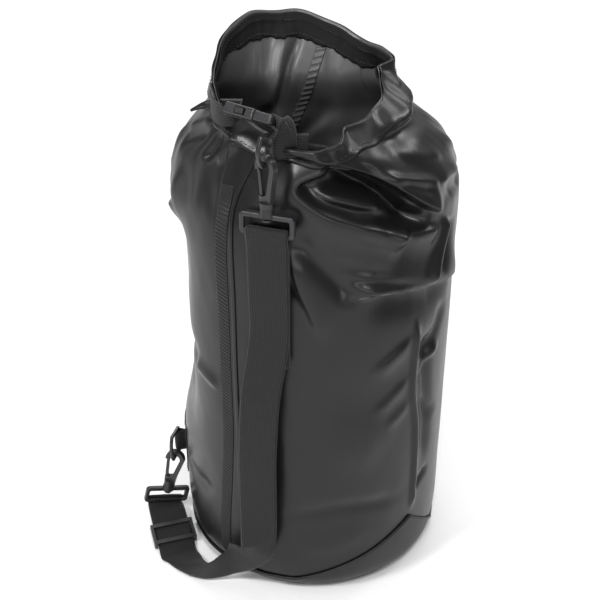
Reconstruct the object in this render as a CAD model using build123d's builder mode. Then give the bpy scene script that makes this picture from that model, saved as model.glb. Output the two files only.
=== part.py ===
"""Roll-top dry bag standing open on its base, with its shoulder strap clipped on.

Millimetres. +Z is up and the origin is the centre of the base on the floor. -Y is the
front, where the buckle and the strap hang, and -X is the side that carries the lower ring.
"""
import os
from math import atan2, cos, radians, sin

from build123d import *

os.makedirs("parts", exist_ok=True)

# ---------------------------------------------------------------- driving dimensions
BODY_R = 132.0
WALL = 2.0
BASE_FLAT_R = 116.0
BASE_H = 16.0
SEAM_ANGLE = 230.0
WELD_W = 14.0
WELD_T = 0.8
BASE_TAPE_TOP = 30.0

COLLAR_X = -7.0
COLLAR_Y = -22.0
COLLAR_RX = 80.0
COLLAR_RY = 93.0
RIM_FRONT_Z = 474.0
RIM_BACK_Z = 535.0
HEM_W = 22.0
HEM_T = 1.6
HEM_FOLD_T = 1.2
HEM_FOLD_W = 14.0

STRAP_W = 38.0
STRAP_T = 2.0
STITCH_T = 0.5

# ---------------------------------------------------------------- bag fabric
# Outline of the fabric tube from the base up: height, centre x, centre y, half width, half depth.
TUBE_SECTIONS = (
    (BASE_H, 0, 0, BODY_R - 2, BODY_R - 2),
    (40, 0, 0, BODY_R, BODY_R),
    (330, 0, 0, BODY_R, BODY_R),
    (400, 0, 0, BODY_R - 1, BODY_R - 4),
    (438, -2, -3, 118, 114),
    (458, -5, -12, 98, 103),
    (474, COLLAR_X, COLLAR_Y + 2, COLLAR_RX + 4, COLLAR_RY + 2),
    (500, COLLAR_X, COLLAR_Y, COLLAR_RX, COLLAR_RY),
    (550, COLLAR_X, COLLAR_Y, COLLAR_RX, COLLAR_RY),
)
RIM_FRONT_Y = COLLAR_Y - COLLAR_RY
RIM_SLOPE = atan2(RIM_BACK_Z - RIM_FRONT_Z, 2 * COLLAR_RY)
RIM_NORMAL = (0, -sin(RIM_SLOPE), cos(RIM_SLOPE))
RIM_PLANE = Plane(origin=(0, RIM_FRONT_Y, RIM_FRONT_Z), x_dir=(1, 0, 0), z_dir=RIM_NORMAL)
SEAM_PLANE = Plane.XZ.rotated((0, 0, SEAM_ANGLE))


def tube_blank(inset):
    """Solid of the fabric tube's outline, shrunk all round by inset."""
    with BuildPart() as blank:
        for height, x, y, half_width, half_depth in TUBE_SECTIONS:
            with BuildSketch(Plane.XY.offset(height)):
                with Locations((x, y)):
                    Ellipse(half_width - inset, half_depth - inset)
        loft(ruled=True)
    return blank.part


OUTSIDE = tube_blank(0)
INSIDE = tube_blank(WALL)
HEM_INSIDE = tube_blank(WALL + HEM_T)
FOLD_OUTSIDE = tube_blank(-HEM_FOLD_T)


def wall_panel(keep):
    """One half of the fabric tube, cut along the two vertical seams and the sloping rim."""
    with BuildPart() as panel:
        add(OUTSIDE)
        add(INSIDE, mode=Mode.SUBTRACT)
        split(bisect_by=RIM_PLANE, keep=Keep.BOTTOM)
        split(bisect_by=SEAM_PLANE, keep=keep)
    return panel.part


front_wall_panel = wall_panel(Keep.BOTTOM)
rear_wall_panel = wall_panel(Keep.TOP)

# Base: a round panel with a rounded, turned-up edge that the tube is welded to.
with BuildPart() as base_panel:
    with BuildSketch(Plane.XZ):
        with BuildLine():
            corner_out = ThreePointArc(
                (BASE_FLAT_R, 0), (BASE_FLAT_R + 9.5, 4.2), (BODY_R - 2, BASE_H)
            )
            Line(corner_out @ 1, (BODY_R - 2 - WALL, BASE_H))
            ThreePointArc(
                (BODY_R - 2 - WALL, BASE_H), (BASE_FLAT_R + 8, 5.8), (BASE_FLAT_R, WALL)
            )
            Polyline((BASE_FLAT_R, WALL), (0, WALL), (0, 0), (BASE_FLAT_R, 0))
        make_face()
    revolve(axis=Axis.Z)

with BuildPart() as base_seam_tape:
    add(tube_blank(-WELD_T))
    add(OUTSIDE, mode=Mode.SUBTRACT)
    split(bisect_by=Plane.XY.offset(BASE_TAPE_TOP), keep=Keep.BOTTOM)


def seam_strip(outer, inner, angle, below_rim):
    """Strip of the shell between two blanks that follows the vertical seam at an angle."""
    top = RIM_PLANE.offset(-below_rim)
    with BuildPart() as strip:
        add(outer)
        add(inner, mode=Mode.SUBTRACT)
        with Locations(Plane.XY.rotated((0, 0, angle)).offset(BASE_TAPE_TOP)):
            Box(
                2 * BODY_R, WELD_W, RIM_BACK_Z,
                align=(Align.MIN, Align.CENTER, Align.MIN), mode=Mode.INTERSECT,
            )
        split(bisect_by=top, keep=Keep.BOTTOM)
    return strip.part


front_weld_strip = seam_strip(tube_blank(-WELD_T), OUTSIDE, SEAM_ANGLE, HEM_FOLD_W)
rear_weld_strip = seam_strip(INSIDE, tube_blank(WALL + WELD_T), SEAM_ANGLE - 180, HEM_W)

# Hem: a stiff webbing band inside the rim, and the fabric folded over it to the outside.
with BuildPart() as hem_webbing:
    add(INSIDE)
    add(HEM_INSIDE, mode=Mode.SUBTRACT)
    split(bisect_by=RIM_PLANE, keep=Keep.BOTTOM)
    split(bisect_by=RIM_PLANE.offset(-HEM_W), keep=Keep.TOP)

with BuildPart() as hem_fold:
    add(FOLD_OUTSIDE)
    add(OUTSIDE, mode=Mode.SUBTRACT)
    split(bisect_by=RIM_PLANE, keep=Keep.BOTTOM)
    split(bisect_by=RIM_PLANE.offset(-HEM_FOLD_W), keep=Keep.TOP)

# ---------------------------------------------------------------- side-release buckle
BUCKLE_CENTRE = (-46.0, -116.0, 495.0)
BUCKLE_YAW = -39.0
BUCKLE_TILT = 30.0
BUCKLE_W = 26.0
BUCKLE_T = 9.0
FEMALE_LEFT = -26.0
FEMALE_RIGHT = 4.0
MALE_RIGHT = 22.0
SPLIT_GAP = 0.4
CAVITY_W = 21.0
CAVITY_T = 5.4
CAVITY_LEFT = -17.0
WINDOW_LEFT = -15.0
WINDOW_RIGHT = -4.0
PRONG_W = 3.2
PRONG_T = 4.4
PRONG_Y = 7.6
PRONG_TIP = -14.0
PRONG_ROOT = 5.0
LOBE_OUT = 13.4
GUIDE_W = 3.4
SLOT_L = 4.4
SLOT_W = 21.0

buckle_axis = Vector(cos(radians(BUCKLE_YAW)), sin(radians(BUCKLE_YAW)), 0)
buckle_across = Vector(-sin(radians(BUCKLE_YAW)), cos(radians(BUCKLE_YAW)), 0)
# The face leans back over the mouth: local x runs along the buckle, local z out of its face.
buckle_face = Vector(0, 0, 1) * cos(radians(BUCKLE_TILT)) + buckle_across * sin(radians(BUCKLE_TILT))
BUCKLE = Plane(origin=BUCKLE_CENTRE, x_dir=buckle_axis, z_dir=buckle_face)


def block(plane, x_range, y_range, z_range, mode=Mode.ADD):
    """Box given by its three ranges in a plane's own axes."""
    with BuildSketch(plane.offset(z_range[0])) as outline:
        with Locations(((x_range[0] + x_range[1]) / 2, (y_range[0] + y_range[1]) / 2)):
            Rectangle(x_range[1] - x_range[0], y_range[1] - y_range[0])
    extrude(outline.sketch, amount=z_range[1] - z_range[0], mode=mode)


def half(width):
    """Range of a width centred on zero."""
    return (-width / 2, width / 2)


with BuildPart() as buckle_female_half:
    block(BUCKLE, (FEMALE_LEFT, FEMALE_RIGHT), half(BUCKLE_W), half(BUCKLE_T))
    fillet(buckle_female_half.edges(), 1.6)
    block(BUCKLE, (CAVITY_LEFT, FEMALE_RIGHT + 1), half(CAVITY_W), half(CAVITY_T), Mode.SUBTRACT)
    block(BUCKLE, (WINDOW_LEFT, WINDOW_RIGHT), half(BUCKLE_W + 2), half(CAVITY_T), Mode.SUBTRACT)
    block(
        BUCKLE, (FEMALE_LEFT + 3, FEMALE_LEFT + 3 + SLOT_L), half(SLOT_W), half(BUCKLE_T + 2),
        Mode.SUBTRACT,
    )

with BuildPart() as buckle_male_half:
    block(BUCKLE, (FEMALE_RIGHT + SPLIT_GAP, MALE_RIGHT), half(BUCKLE_W), half(BUCKLE_T - 1.5))
    fillet(buckle_male_half.edges(), 1.6)
    block(
        BUCKLE, (MALE_RIGHT - 3 - SLOT_L, MALE_RIGHT - 3), half(SLOT_W), half(BUCKLE_T + 2),
        Mode.SUBTRACT,
    )
    block(BUCKLE, (CAVITY_LEFT + 4, FEMALE_RIGHT + 2), half(GUIDE_W), half(PRONG_T))
    for side in (-1, 1):
        pocket = (side * PRONG_Y - PRONG_W, side * PRONG_Y + PRONG_W)
        block(
            BUCKLE, (FEMALE_RIGHT, PRONG_ROOT + 2.4), pocket, half(PRONG_T + 0.6), Mode.SUBTRACT
        )


def prong(side):
    """Springy arm of the male half with the lobe that is pressed to release it."""
    centre = side * PRONG_Y
    arm = (centre - PRONG_W / 2, centre + PRONG_W / 2)
    lobe = tuple(sorted((centre, side * LOBE_OUT)))
    with BuildPart() as arm_part:
        block(BUCKLE, (PRONG_TIP, PRONG_ROOT + 2), arm, half(PRONG_T))
        block(BUCKLE, (PRONG_TIP, WINDOW_RIGHT - 2), lobe, half(PRONG_T))
    return arm_part.part


buckle_outer_prong = prong(-1)
buckle_inner_prong = prong(1)

# ---------------------------------------------------------------- mouth webbing
TAB_W = 20.0
TAB_T = 1.6
LEFT_WEB_LINE = ((-69.0, -99.0), (-79.0, -89.5), (-85.5, -76.0), (-88.0, -56.0))
LEFT_WEB_LOW = 478.0
RIGHT_WEB_LINE = ((3.0, -119.5), (14.0, -118.0), (25.0, -114.5), (34.0, -109.0))
RIGHT_WEB_LOW = 457.0
RIGHT_WEB_W = 17.0


def standing_band(points, low, high, thickness):
    """Upright band of webbing that follows a plan-view line."""
    with BuildPart() as band:
        with BuildSketch(Plane.XY.offset(low)):
            with BuildLine():
                line = Polyline(*points)
                offset(line, amount=thickness / 2)
            make_face()
        extrude(amount=high - low)
    return band.part


left_buckle_webbing = standing_band(LEFT_WEB_LINE, LEFT_WEB_LOW, LEFT_WEB_LOW + TAB_W, TAB_T)
right_buckle_webbing = standing_band(RIGHT_WEB_LINE, RIGHT_WEB_LOW, RIGHT_WEB_LOW + RIGHT_WEB_W, TAB_T)

# ---------------------------------------------------------------- rings and their tabs
RING_WIRE = 3.2
BAR_POCKET = 2.4
D_BULGE = 4.5
RING_EDGE_R = 0.7
UPPER_BAR = (-32.0, -124.0)
UPPER_RING_HEADING = 228.0
UPPER_RING_LOW = 463.6
UPPER_TAB_DIR = (1.0, 0.06)
UPPER_TAB_L = 30.0
RING_DEPTH = 21.0
RING_SIDE_GAP = 0.3
HOOK_SEAT = 12.0

LOWER_TAB_W = 25.0
LOWER_TAB_LOW = 79.5
LOWER_BAR = (-143.0, 0.0)
LOWER_RING_HEADING = 255.0
PATCH_T = 1.5
PATCH_W = 30.0
PATCH_LOW = 56.0
PATCH_HIGH = 128.0


def tab_loop(bar, away, length, low, high):
    """Webbing folded round a ring's upright bar, its two plies running back along away."""
    direction = Vector(away[0], away[1], 0).normalized()
    middle = Vector(bar[0], bar[1], low) + direction * (length / 2)
    plan = Plane(origin=middle, x_dir=direction, z_dir=(0, 0, 1))
    with BuildPart() as loop:
        with BuildSketch(plan):
            SlotCenterToCenter(length, 2 * (BAR_POCKET + TAB_T))
            SlotCenterToCenter(length, 2 * BAR_POCKET, mode=Mode.SUBTRACT)
        extrude(amount=high - low)
    return loop.part


def d_ring(bar, heading, inner_low, inner_high, depth):
    """D-shaped ring standing upright: straight bar at bar, bow reaching depth towards heading."""
    out = Vector(cos(radians(heading)), sin(radians(heading)), 0)
    centre = Vector(bar[0], bar[1], (inner_low + inner_high) / 2)
    face = Plane(origin=centre, x_dir=out, z_dir=out.cross(Vector(0, 0, 1)))
    back = -RING_WIRE / 2
    tip = depth + RING_WIRE / 2
    half_h = (inner_high - inner_low) / 2 + RING_WIRE
    shoulder = tip - D_BULGE
    with BuildPart() as ring:
        with BuildSketch(face.offset(-RING_WIRE / 2)) as outline:
            with BuildLine():
                Polyline((shoulder, half_h), (back, half_h), (back, -half_h), (shoulder, -half_h))
                ThreePointArc((shoulder, -half_h), (tip, 0), (shoulder, half_h))
            make_face()
            offset(amount=-RING_WIRE, mode=Mode.SUBTRACT)
        extrude(amount=RING_WIRE)
        fillet(ring.edges(), RING_EDGE_R)
    return ring.part


upper_tab_low = UPPER_RING_LOW + RING_SIDE_GAP
upper_ring_tab = tab_loop(UPPER_BAR, UPPER_TAB_DIR, UPPER_TAB_L, upper_tab_low, upper_tab_low + TAB_W)
upper_d_ring = d_ring(
    UPPER_BAR, UPPER_RING_HEADING, UPPER_RING_LOW, UPPER_RING_LOW + TAB_W + 2 * RING_SIDE_GAP, RING_DEPTH
)

with BuildPart() as lower_anchor_patch:
    add(tube_blank(-PATCH_T))
    add(OUTSIDE, mode=Mode.SUBTRACT)
    with Locations((-BODY_R, 0, PATCH_LOW)):
        Box(
            BODY_R, PATCH_W, PATCH_HIGH - PATCH_LOW,
            align=(Align.CENTER, Align.CENTER, Align.MIN), mode=Mode.INTERSECT,
        )

lower_tab_l = -LOWER_BAR[0] - BODY_R - PATCH_T - BAR_POCKET - TAB_T
lower_ring_tab = tab_loop(LOWER_BAR, (1.0, 0.0), lower_tab_l, LOWER_TAB_LOW, LOWER_TAB_LOW + LOWER_TAB_W)
lower_ring_low = LOWER_TAB_LOW - RING_SIDE_GAP
lower_d_ring = d_ring(
    LOWER_BAR, LOWER_RING_HEADING, lower_ring_low, lower_ring_low + LOWER_TAB_W + 2 * RING_SIDE_GAP,
    RING_DEPTH,
)

# ---------------------------------------------------------------- swivel snap hooks
# Hook axes: x across, y up the hook from the top of its strap frame, z out of its face.
FRAME_W = 48.0
FRAME_H = 20.0
FRAME_T = 5.0
FRAME_BAR = 4.5
FRAME_WINDOW_W = 39.6
BOSS_R = 6.5
BOSS_H = 5.0
SWIVEL_R = 2.5
SWIVEL_HEAD_R = 4.0
SWIVEL_HEAD_T = 1.6
RUNNING_GAP = 0.05
FREE_GAP = 0.3
COLLAR_H = 5.0
HOOK_COLLAR_R = 6.0
HOOK_T = 5.6
BOW_Y = 39.8
BOW_OUT_R = 10.2
BOW_IN_R = 5.8
NOSE_DROP = 2.6
GATE_X = -4.6
GATE_Y = 13.4
GATE_T = 2.8
GATE_PIN_R = 0.8
KNUCKLE_R = 1.9
FORK_GAP = 3.4
WIRE_SEAT = 4.2

hook_base = BOSS_H + FREE_GAP
hook_collar_top = hook_base + COLLAR_H
fork_top = GATE_Y + 1.8
nose_y = BOW_Y - NOSE_DROP
gate_top = nose_y - 0.8


def axial(hook, height):
    """Plane square to a hook's swivel axis, at a height above the frame's top."""
    return Plane(origin=hook.origin + hook.y_dir * height, x_dir=hook.x_dir, z_dir=hook.y_dir)


def strap_frame(hook):
    """Rectangular strap loop with the swivel's bored boss on top."""
    with BuildPart() as frame:
        with BuildSketch(hook.offset(-FRAME_T / 2)):
            with Locations((0, -FRAME_H / 2)):
                RectangleRounded(FRAME_W, FRAME_H, 4)
                RectangleRounded(FRAME_WINDOW_W, FRAME_H - 2 * FRAME_BAR, 1.5, mode=Mode.SUBTRACT)
        extrude(amount=FRAME_T)
        fillet(frame.edges(), 1.2)
        with BuildSketch(axial(hook, -FRAME_BAR / 2)):
            Circle(BOSS_R)
        extrude(amount=FRAME_BAR / 2 + BOSS_H, taper=6)
        with BuildSketch(axial(hook, -FRAME_BAR - 1)):
            Circle(SWIVEL_R + RUNNING_GAP)
        extrude(amount=FRAME_BAR + BOSS_H + 2, mode=Mode.SUBTRACT)
    return frame.part


def swivel_pin(hook):
    """Headed pin that holds the hook in the frame's boss and lets it turn."""
    head_top = -FRAME_BAR - FREE_GAP
    with BuildPart() as pin:
        with BuildSketch(axial(hook, head_top - SWIVEL_HEAD_T)):
            Circle(SWIVEL_HEAD_R)
        extrude(amount=SWIVEL_HEAD_T)
        with BuildSketch(axial(hook, head_top)):
            Circle(SWIVEL_R)
        extrude(amount=hook_base - head_top)
    return pin.part


def hook_body(hook):
    """Collar, leaning spine and bow of a snap hook, with a fork for its gate."""
    foot = hook_collar_top - 1
    with BuildPart() as body:
        with BuildSketch(axial(hook, hook_base)):
            Circle(HOOK_COLLAR_R)
        extrude(amount=COLLAR_H)
        with BuildSketch(hook.offset(-HOOK_T / 2)):
            with Locations((0, BOW_Y)):
                Circle(BOW_OUT_R)
                Circle(BOW_IN_R, mode=Mode.SUBTRACT)
            with Locations((0, nose_y)):
                Rectangle(2 * BOW_OUT_R, BOW_OUT_R, align=(Align.CENTER, Align.MAX), mode=Mode.SUBTRACT)
            with BuildLine():
                Polyline(
                    (0.4 - HOOK_COLLAR_R, foot), (HOOK_COLLAR_R - 0.4, foot),
                    (HOOK_COLLAR_R + 0.6, fork_top + 3), (BOW_OUT_R, BOW_Y), (BOW_IN_R, BOW_Y),
                    (1.6, fork_top + 2), (-1.8, fork_top), (-0.2 - HOOK_COLLAR_R, fork_top),
                    close=True,
                )
            make_face()
        extrude(amount=HOOK_T)
        block(
            hook, (-HOOK_COLLAR_R - 4, -1.9), (GATE_Y - KNUCKLE_R - FREE_GAP, fork_top + 4),
            half(FORK_GAP), Mode.SUBTRACT,
        )
        with BuildSketch(hook.offset(-HOOK_T)):
            with Locations((GATE_X, GATE_Y)):
                Circle(GATE_PIN_R)
        extrude(amount=2 * HOOK_T, mode=Mode.SUBTRACT)
    return body.part


def hook_gate(hook):
    """Slim gate that closes the hook, with the knuckle that it turns on."""
    with BuildPart() as gate:
        with BuildSketch(hook.offset(-GATE_T / 2)):
            with BuildLine():
                Polyline(
                    (GATE_X - 1.4, GATE_Y), (GATE_X + 1.4, GATE_Y), (-BOW_IN_R, gate_top),
                    (-BOW_OUT_R + 1.6, gate_top), close=True,
                )
            make_face()
            with Locations((GATE_X, GATE_Y)):
                Circle(KNUCKLE_R)
                Circle(GATE_PIN_R + RUNNING_GAP, mode=Mode.SUBTRACT)
        extrude(amount=GATE_T)
    return gate.part


def gate_pin(hook):
    """Pin through the hook's fork and the gate's knuckle."""
    with BuildPart() as pin:
        with BuildSketch(hook.offset(-HOOK_T / 2)):
            with Locations((GATE_X, GATE_Y)):
                Circle(GATE_PIN_R)
        extrude(amount=HOOK_T)
    return pin.part


def seat_point(bar, heading, inner_low):
    """Centre of a hook's bow when it hangs on a ring's lower leg."""
    reach = Vector(cos(radians(heading)), sin(radians(heading)), 0) * HOOK_SEAT
    return Vector(bar[0], bar[1], inner_low - WIRE_SEAT) + reach


def hanging_plane(bow, up, across):
    """Hook axes for a hook whose bow centre, upward direction and rough across are given."""
    rise = Vector(*up).normalized()
    face = Vector(*across).cross(rise).normalized()
    return Plane(origin=bow - rise * BOW_Y, x_dir=rise.cross(face), z_dir=face)


def level(heading):
    """Level unit direction at a heading in degrees from +X."""
    return (cos(radians(heading)), sin(radians(heading)), 0)


UPPER_UP = (0.0, 0.0, 1.0)
LOWER_UP = (0.242, 0.0, 0.970)
UPPER_FRAME_HEADING = -20.0
LOWER_FRAME_HEADING = 18.0

upper_bow = seat_point(UPPER_BAR, UPPER_RING_HEADING, UPPER_RING_LOW)
lower_bow = seat_point(LOWER_BAR, LOWER_RING_HEADING, lower_ring_low)
upper_hook = hanging_plane(upper_bow, UPPER_UP, level(UPPER_RING_HEADING + 90))
lower_hook = hanging_plane(lower_bow, LOWER_UP, level(LOWER_RING_HEADING + 90))
upper_frame = hanging_plane(upper_bow, UPPER_UP, level(UPPER_FRAME_HEADING))
lower_frame = hanging_plane(lower_bow, LOWER_UP, level(LOWER_FRAME_HEADING))

# ---------------------------------------------------------------- shoulder strap
WRAP_IN_R = 3.1
FRONT_PLY_LOW = 88.0
SEWN_END_LOW = 273.0
STITCH_BAND_H = 13.0
SLIDER_AT = 44.0
FLOOR_TWIST = 16.0
FLOOR_RUN = 76.0
FLOOR_DIR = (0.30, -0.94, -0.17)
FLOOR_LEFT = (0.95, 0.30, 0.0)
SLIDER_L = 26.0
SLIDER_ARM = 3.0
SLIDER_BAR = 4.5
SLIDER_BAR_T = 2.2
SLIDER_GAP = 0.4
# Strap from the floor run up to the front ply: centre, heading and left-hand side of the webbing.
TURN_SECTIONS = (
    ((-121.5, -106.0, 8.0), (0.70, -0.68, 0.22), (0.62, 0.72, 0.30)),
    ((-98.0, -124.0, 28.0), (0.75, -0.35, 0.55), (-0.10, 0.78, 0.62)),
    ((-72.0, -138.0, 56.0), (0.55, -0.25, 0.80), (-0.65, 0.45, 0.60)),
    ((-56.0, -139.5, FRONT_PLY_LOW), (0.0, 0.0, 1.0), (-0.94, 0.342, 0.0)),
)


def ribbon_plane(centre, heading, left):
    """Section plane of the webbing: local x towards its left edge, local z along it."""
    ahead = Vector(*heading).normalized()
    side = Vector(*left)
    side = (side - ahead * side.dot(ahead)).normalized()
    return Plane(origin=centre, x_dir=side, z_dir=ahead)


def bar_centre(frame):
    """Middle of a strap frame's lower bar."""
    return frame.origin - frame.y_dir * (FRAME_H - FRAME_BAR / 2)


def axial_side(frame):
    """Side-on plane through a strap frame's lower bar: local x out of its face, local y up."""
    return Plane(origin=bar_centre(frame), x_dir=frame.z_dir, z_dir=-frame.x_dir)


wrap_mid_r = WRAP_IN_R + STRAP_T / 2
floor_ahead = Vector(*FLOOR_DIR).normalized()
floor_down = lower_frame.x_dir.cross(floor_ahead).normalized()
floor_start = bar_centre(lower_frame) + floor_down * wrap_mid_r
upper_bar = bar_centre(upper_frame)
sewn_end = Vector(upper_bar.X, upper_bar.Y, SEWN_END_LOW)
front_side = axial_side(upper_frame)

with BuildPart() as shoulder_strap:
    # Wrap on the upper frame's bar, closing into two plies that end where they are sewn.
    with BuildSketch(front_side.offset(-STRAP_W / 2)):
        Circle(WRAP_IN_R + STRAP_T)
        Polygon((-4.9, -1.5), (4.9, -1.5), (STRAP_T, -12), (-STRAP_T, -12), align=None)
        Circle(WRAP_IN_R, mode=Mode.SUBTRACT)
    extrude(amount=STRAP_W)
    with BuildSketch(ribbon_plane(sewn_end, UPPER_UP, upper_frame.x_dir)):
        Rectangle(STRAP_W, 2 * STRAP_T)
    extrude(amount=upper_bar.Z - 10 - SEWN_END_LOW)
    # Front ply, the turn at its foot, and the run along the floor to the lower frame.
    with BuildSketch(ribbon_plane(floor_start, floor_ahead, lower_frame.x_dir)):
        Rectangle(STRAP_W, STRAP_T)
    for run in (FLOOR_TWIST, FLOOR_RUN):
        with BuildSketch(ribbon_plane(floor_start + floor_ahead * run, floor_ahead, FLOOR_LEFT)):
            Rectangle(STRAP_W, STRAP_T)
    for centre, heading, left in TURN_SECTIONS:
        with BuildSketch(ribbon_plane(centre, heading, left)):
            Rectangle(STRAP_W, STRAP_T)
    with BuildSketch(ribbon_plane(sewn_end + Vector(0, 0, 1), UPPER_UP, -upper_frame.x_dir)):
        Rectangle(STRAP_W, STRAP_T)
    loft(ruled=True)
    with BuildSketch(axial_side(lower_frame).offset(-STRAP_W / 2)):
        Circle(WRAP_IN_R + STRAP_T)
        Circle(WRAP_IN_R, mode=Mode.SUBTRACT)
    extrude(amount=STRAP_W)

slider_plane = ribbon_plane(floor_start + floor_ahead * SLIDER_AT, floor_ahead, FLOOR_LEFT)
slider_face = Plane(origin=slider_plane.origin, x_dir=slider_plane.x_dir, z_dir=slider_plane.y_dir)
under = -STRAP_T / 2 - SLIDER_GAP
over = STRAP_T / 2 + SLIDER_GAP
inner_half = STRAP_W / 2 + SLIDER_GAP

# Slider: two end bars over the webbing and a middle bar under it, joined by side arms.
with BuildPart() as strap_slider:
    for side in (-1, 1):
        arm = tuple(sorted((side * inner_half, side * (inner_half + SLIDER_ARM))))
        block(slider_face, arm, half(SLIDER_L), (under - SLIDER_BAR_T, over + SLIDER_BAR_T))
        end = tuple(sorted((side * (SLIDER_L / 2 - SLIDER_BAR), side * SLIDER_L / 2)))
        block(slider_face, half(2 * inner_half + 1), end, (over, over + SLIDER_BAR_T))
    block(slider_face, half(2 * inner_half + 1), half(SLIDER_BAR), (under - SLIDER_BAR_T, under))

# Stitching: the sewn end of the strap, the anchor patch and the line round the hem.
stitch_face = Plane(
    origin=sewn_end + upper_frame.z_dir * STRAP_T, x_dir=upper_frame.x_dir, z_dir=upper_frame.z_dir
)
with BuildPart() as strap_stitching:
    block(stitch_face, half(STRAP_W - 4), (1, 1 + STITCH_BAND_H), (0, STITCH_T))

with BuildPart() as anchor_stitching:
    add(tube_blank(-PATCH_T - STITCH_T))
    add(tube_blank(-PATCH_T), mode=Mode.SUBTRACT)
    with Locations((-BODY_R, 0, PATCH_LOW + 6), (-BODY_R, 0, PATCH_HIGH - 6)):
        Box(BODY_R, PATCH_W - 6, 3, mode=Mode.INTERSECT)

with BuildPart() as hem_stitching:
    add(tube_blank(-HEM_FOLD_T - STITCH_T))
    add(FOLD_OUTSIDE, mode=Mode.SUBTRACT)
    split(bisect_by=RIM_PLANE.offset(-HEM_FOLD_W + 3), keep=Keep.BOTTOM)
    split(bisect_by=RIM_PLANE.offset(-HEM_FOLD_W + 2), keep=Keep.TOP)

PARTS = {
    "front_wall_panel": front_wall_panel,
    "rear_wall_panel": rear_wall_panel,
    "base_panel": base_panel.part,
    "base_seam_tape": base_seam_tape.part,
    "front_weld_strip": front_weld_strip,
    "rear_weld_strip": rear_weld_strip,
    "hem_webbing": hem_webbing.part,
    "hem_fold": hem_fold.part,
    "buckle_female_half": buckle_female_half.part,
    "buckle_male_half": buckle_male_half.part,
    "buckle_outer_prong": buckle_outer_prong,
    "buckle_inner_prong": buckle_inner_prong,
    "left_buckle_webbing": left_buckle_webbing,
    "right_buckle_webbing": right_buckle_webbing,
    "upper_ring_tab": upper_ring_tab,
    "upper_d_ring": upper_d_ring,
    "upper_strap_frame": strap_frame(upper_frame),
    "upper_swivel_pin": swivel_pin(upper_hook),
    "upper_hook_body": hook_body(upper_hook),
    "upper_hook_gate": hook_gate(upper_hook),
    "upper_gate_pin": gate_pin(upper_hook),
    "lower_anchor_patch": lower_anchor_patch.part,
    "lower_ring_tab": lower_ring_tab,
    "lower_d_ring": lower_d_ring,
    "lower_strap_frame": strap_frame(lower_frame),
    "lower_swivel_pin": swivel_pin(lower_hook),
    "lower_hook_body": hook_body(lower_hook),
    "lower_hook_gate": hook_gate(lower_hook),
    "lower_gate_pin": gate_pin(lower_hook),
    "shoulder_strap": shoulder_strap.part,
    "strap_slider": strap_slider.part,
    "strap_stitching": strap_stitching.part,
    "anchor_stitching": anchor_stitching.part,
    "hem_stitching": hem_stitching.part,
}

for name, piece in PARTS.items():
    piece.label = name
    export_step(piece, f"parts/{name}.step")
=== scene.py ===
"""Looks of a roll-top dry bag that stands open with its shoulder strap clipped on.

Metres throughout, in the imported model's own frame: +Z is up, -Y is the front with the buckle and the
strap, and -X is the side with the lower ring. The bag's fabric is one formula, BagFabric, from which the
walls, welds, hems and patches are all cut, so that they follow the same folds. Straps and webbing are
ribbons carried along a path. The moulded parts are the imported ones, dressed with their finish.
"""

import logging
import math
from dataclasses import dataclass, field
from enum import Enum
from typing import Sequence

import bmesh
import bpy
import numpy as np
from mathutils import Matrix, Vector


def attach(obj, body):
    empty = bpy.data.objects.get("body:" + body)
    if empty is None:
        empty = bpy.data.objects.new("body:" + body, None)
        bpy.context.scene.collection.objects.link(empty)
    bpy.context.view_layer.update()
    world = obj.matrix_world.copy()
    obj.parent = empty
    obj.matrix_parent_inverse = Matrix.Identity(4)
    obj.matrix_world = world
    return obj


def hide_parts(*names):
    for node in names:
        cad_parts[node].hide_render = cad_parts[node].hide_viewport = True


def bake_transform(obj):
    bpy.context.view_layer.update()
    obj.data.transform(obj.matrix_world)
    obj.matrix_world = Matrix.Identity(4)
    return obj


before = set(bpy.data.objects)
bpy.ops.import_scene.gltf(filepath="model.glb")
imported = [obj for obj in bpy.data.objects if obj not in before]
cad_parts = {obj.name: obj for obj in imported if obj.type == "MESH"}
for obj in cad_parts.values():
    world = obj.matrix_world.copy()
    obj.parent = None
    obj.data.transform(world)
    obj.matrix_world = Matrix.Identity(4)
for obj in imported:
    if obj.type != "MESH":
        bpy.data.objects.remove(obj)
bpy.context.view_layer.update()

LOG = logging.getLogger("dry_bag")
MM = 0.001
WHOLE_TURN = 2 * math.pi
UP = np.array([0.0, 0.0, 1.0])
# Power of the sine that rounds a strip's edges: the smaller, the fuller the strip stays up to its edge.
EDGE_POWER = 0.18
# Share of a stitch's half length at which its last ring of points stands.
STITCH_END = 0.92
Array = np.ndarray


# ------------------------------------------------------------------------------------------- mesh helpers
def smoothstep(low: float, high: float, value: Array) -> Array:
    """Eases from 0 at low to 1 at high: t squared times (3 - 2t), with t held between 0 and 1.

    Args:
        low: where the ease starts.
        high: where it ends.
        value: the numbers to ease.

    Returns:
        The eased numbers.
    """
    t = np.clip((value - low) / (high - low), 0.0, 1.0)
    return t * t * (3.0 - 2.0 * t)


def bell(value: Array, middle: float, width: Array | float) -> Array:
    """Bell round a middle: exp(-((value - middle) / width) squared).

    Args:
        value: where to read it.
        middle: where it is 1.
        width: distance at which it has fallen to 0.37.

    Returns:
        Its height, from 0 to 1.
    """
    return np.exp(-(((value - middle) / width) ** 2))


def turn_from(degrees: Array, centre: float) -> Array:
    """Signed turn from a centre, the shorter way round.

    Args:
        degrees: angles, in degrees.
        centre: the angle to measure from.

    Returns:
        The turns, from -180 to 180 degrees.
    """
    return (degrees - centre + 180.0) % 360.0 - 180.0


def uv_grid(along: Array, across: Array) -> Array:
    """UV places of a grid.

    Args:
        along: metres along, one per row.
        across: metres across, one per column.

    Returns:
        A (u, v) pair for every row and column.
    """
    return np.stack(np.broadcast_arrays(along[:, None], across[None, :]), -1)


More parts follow.
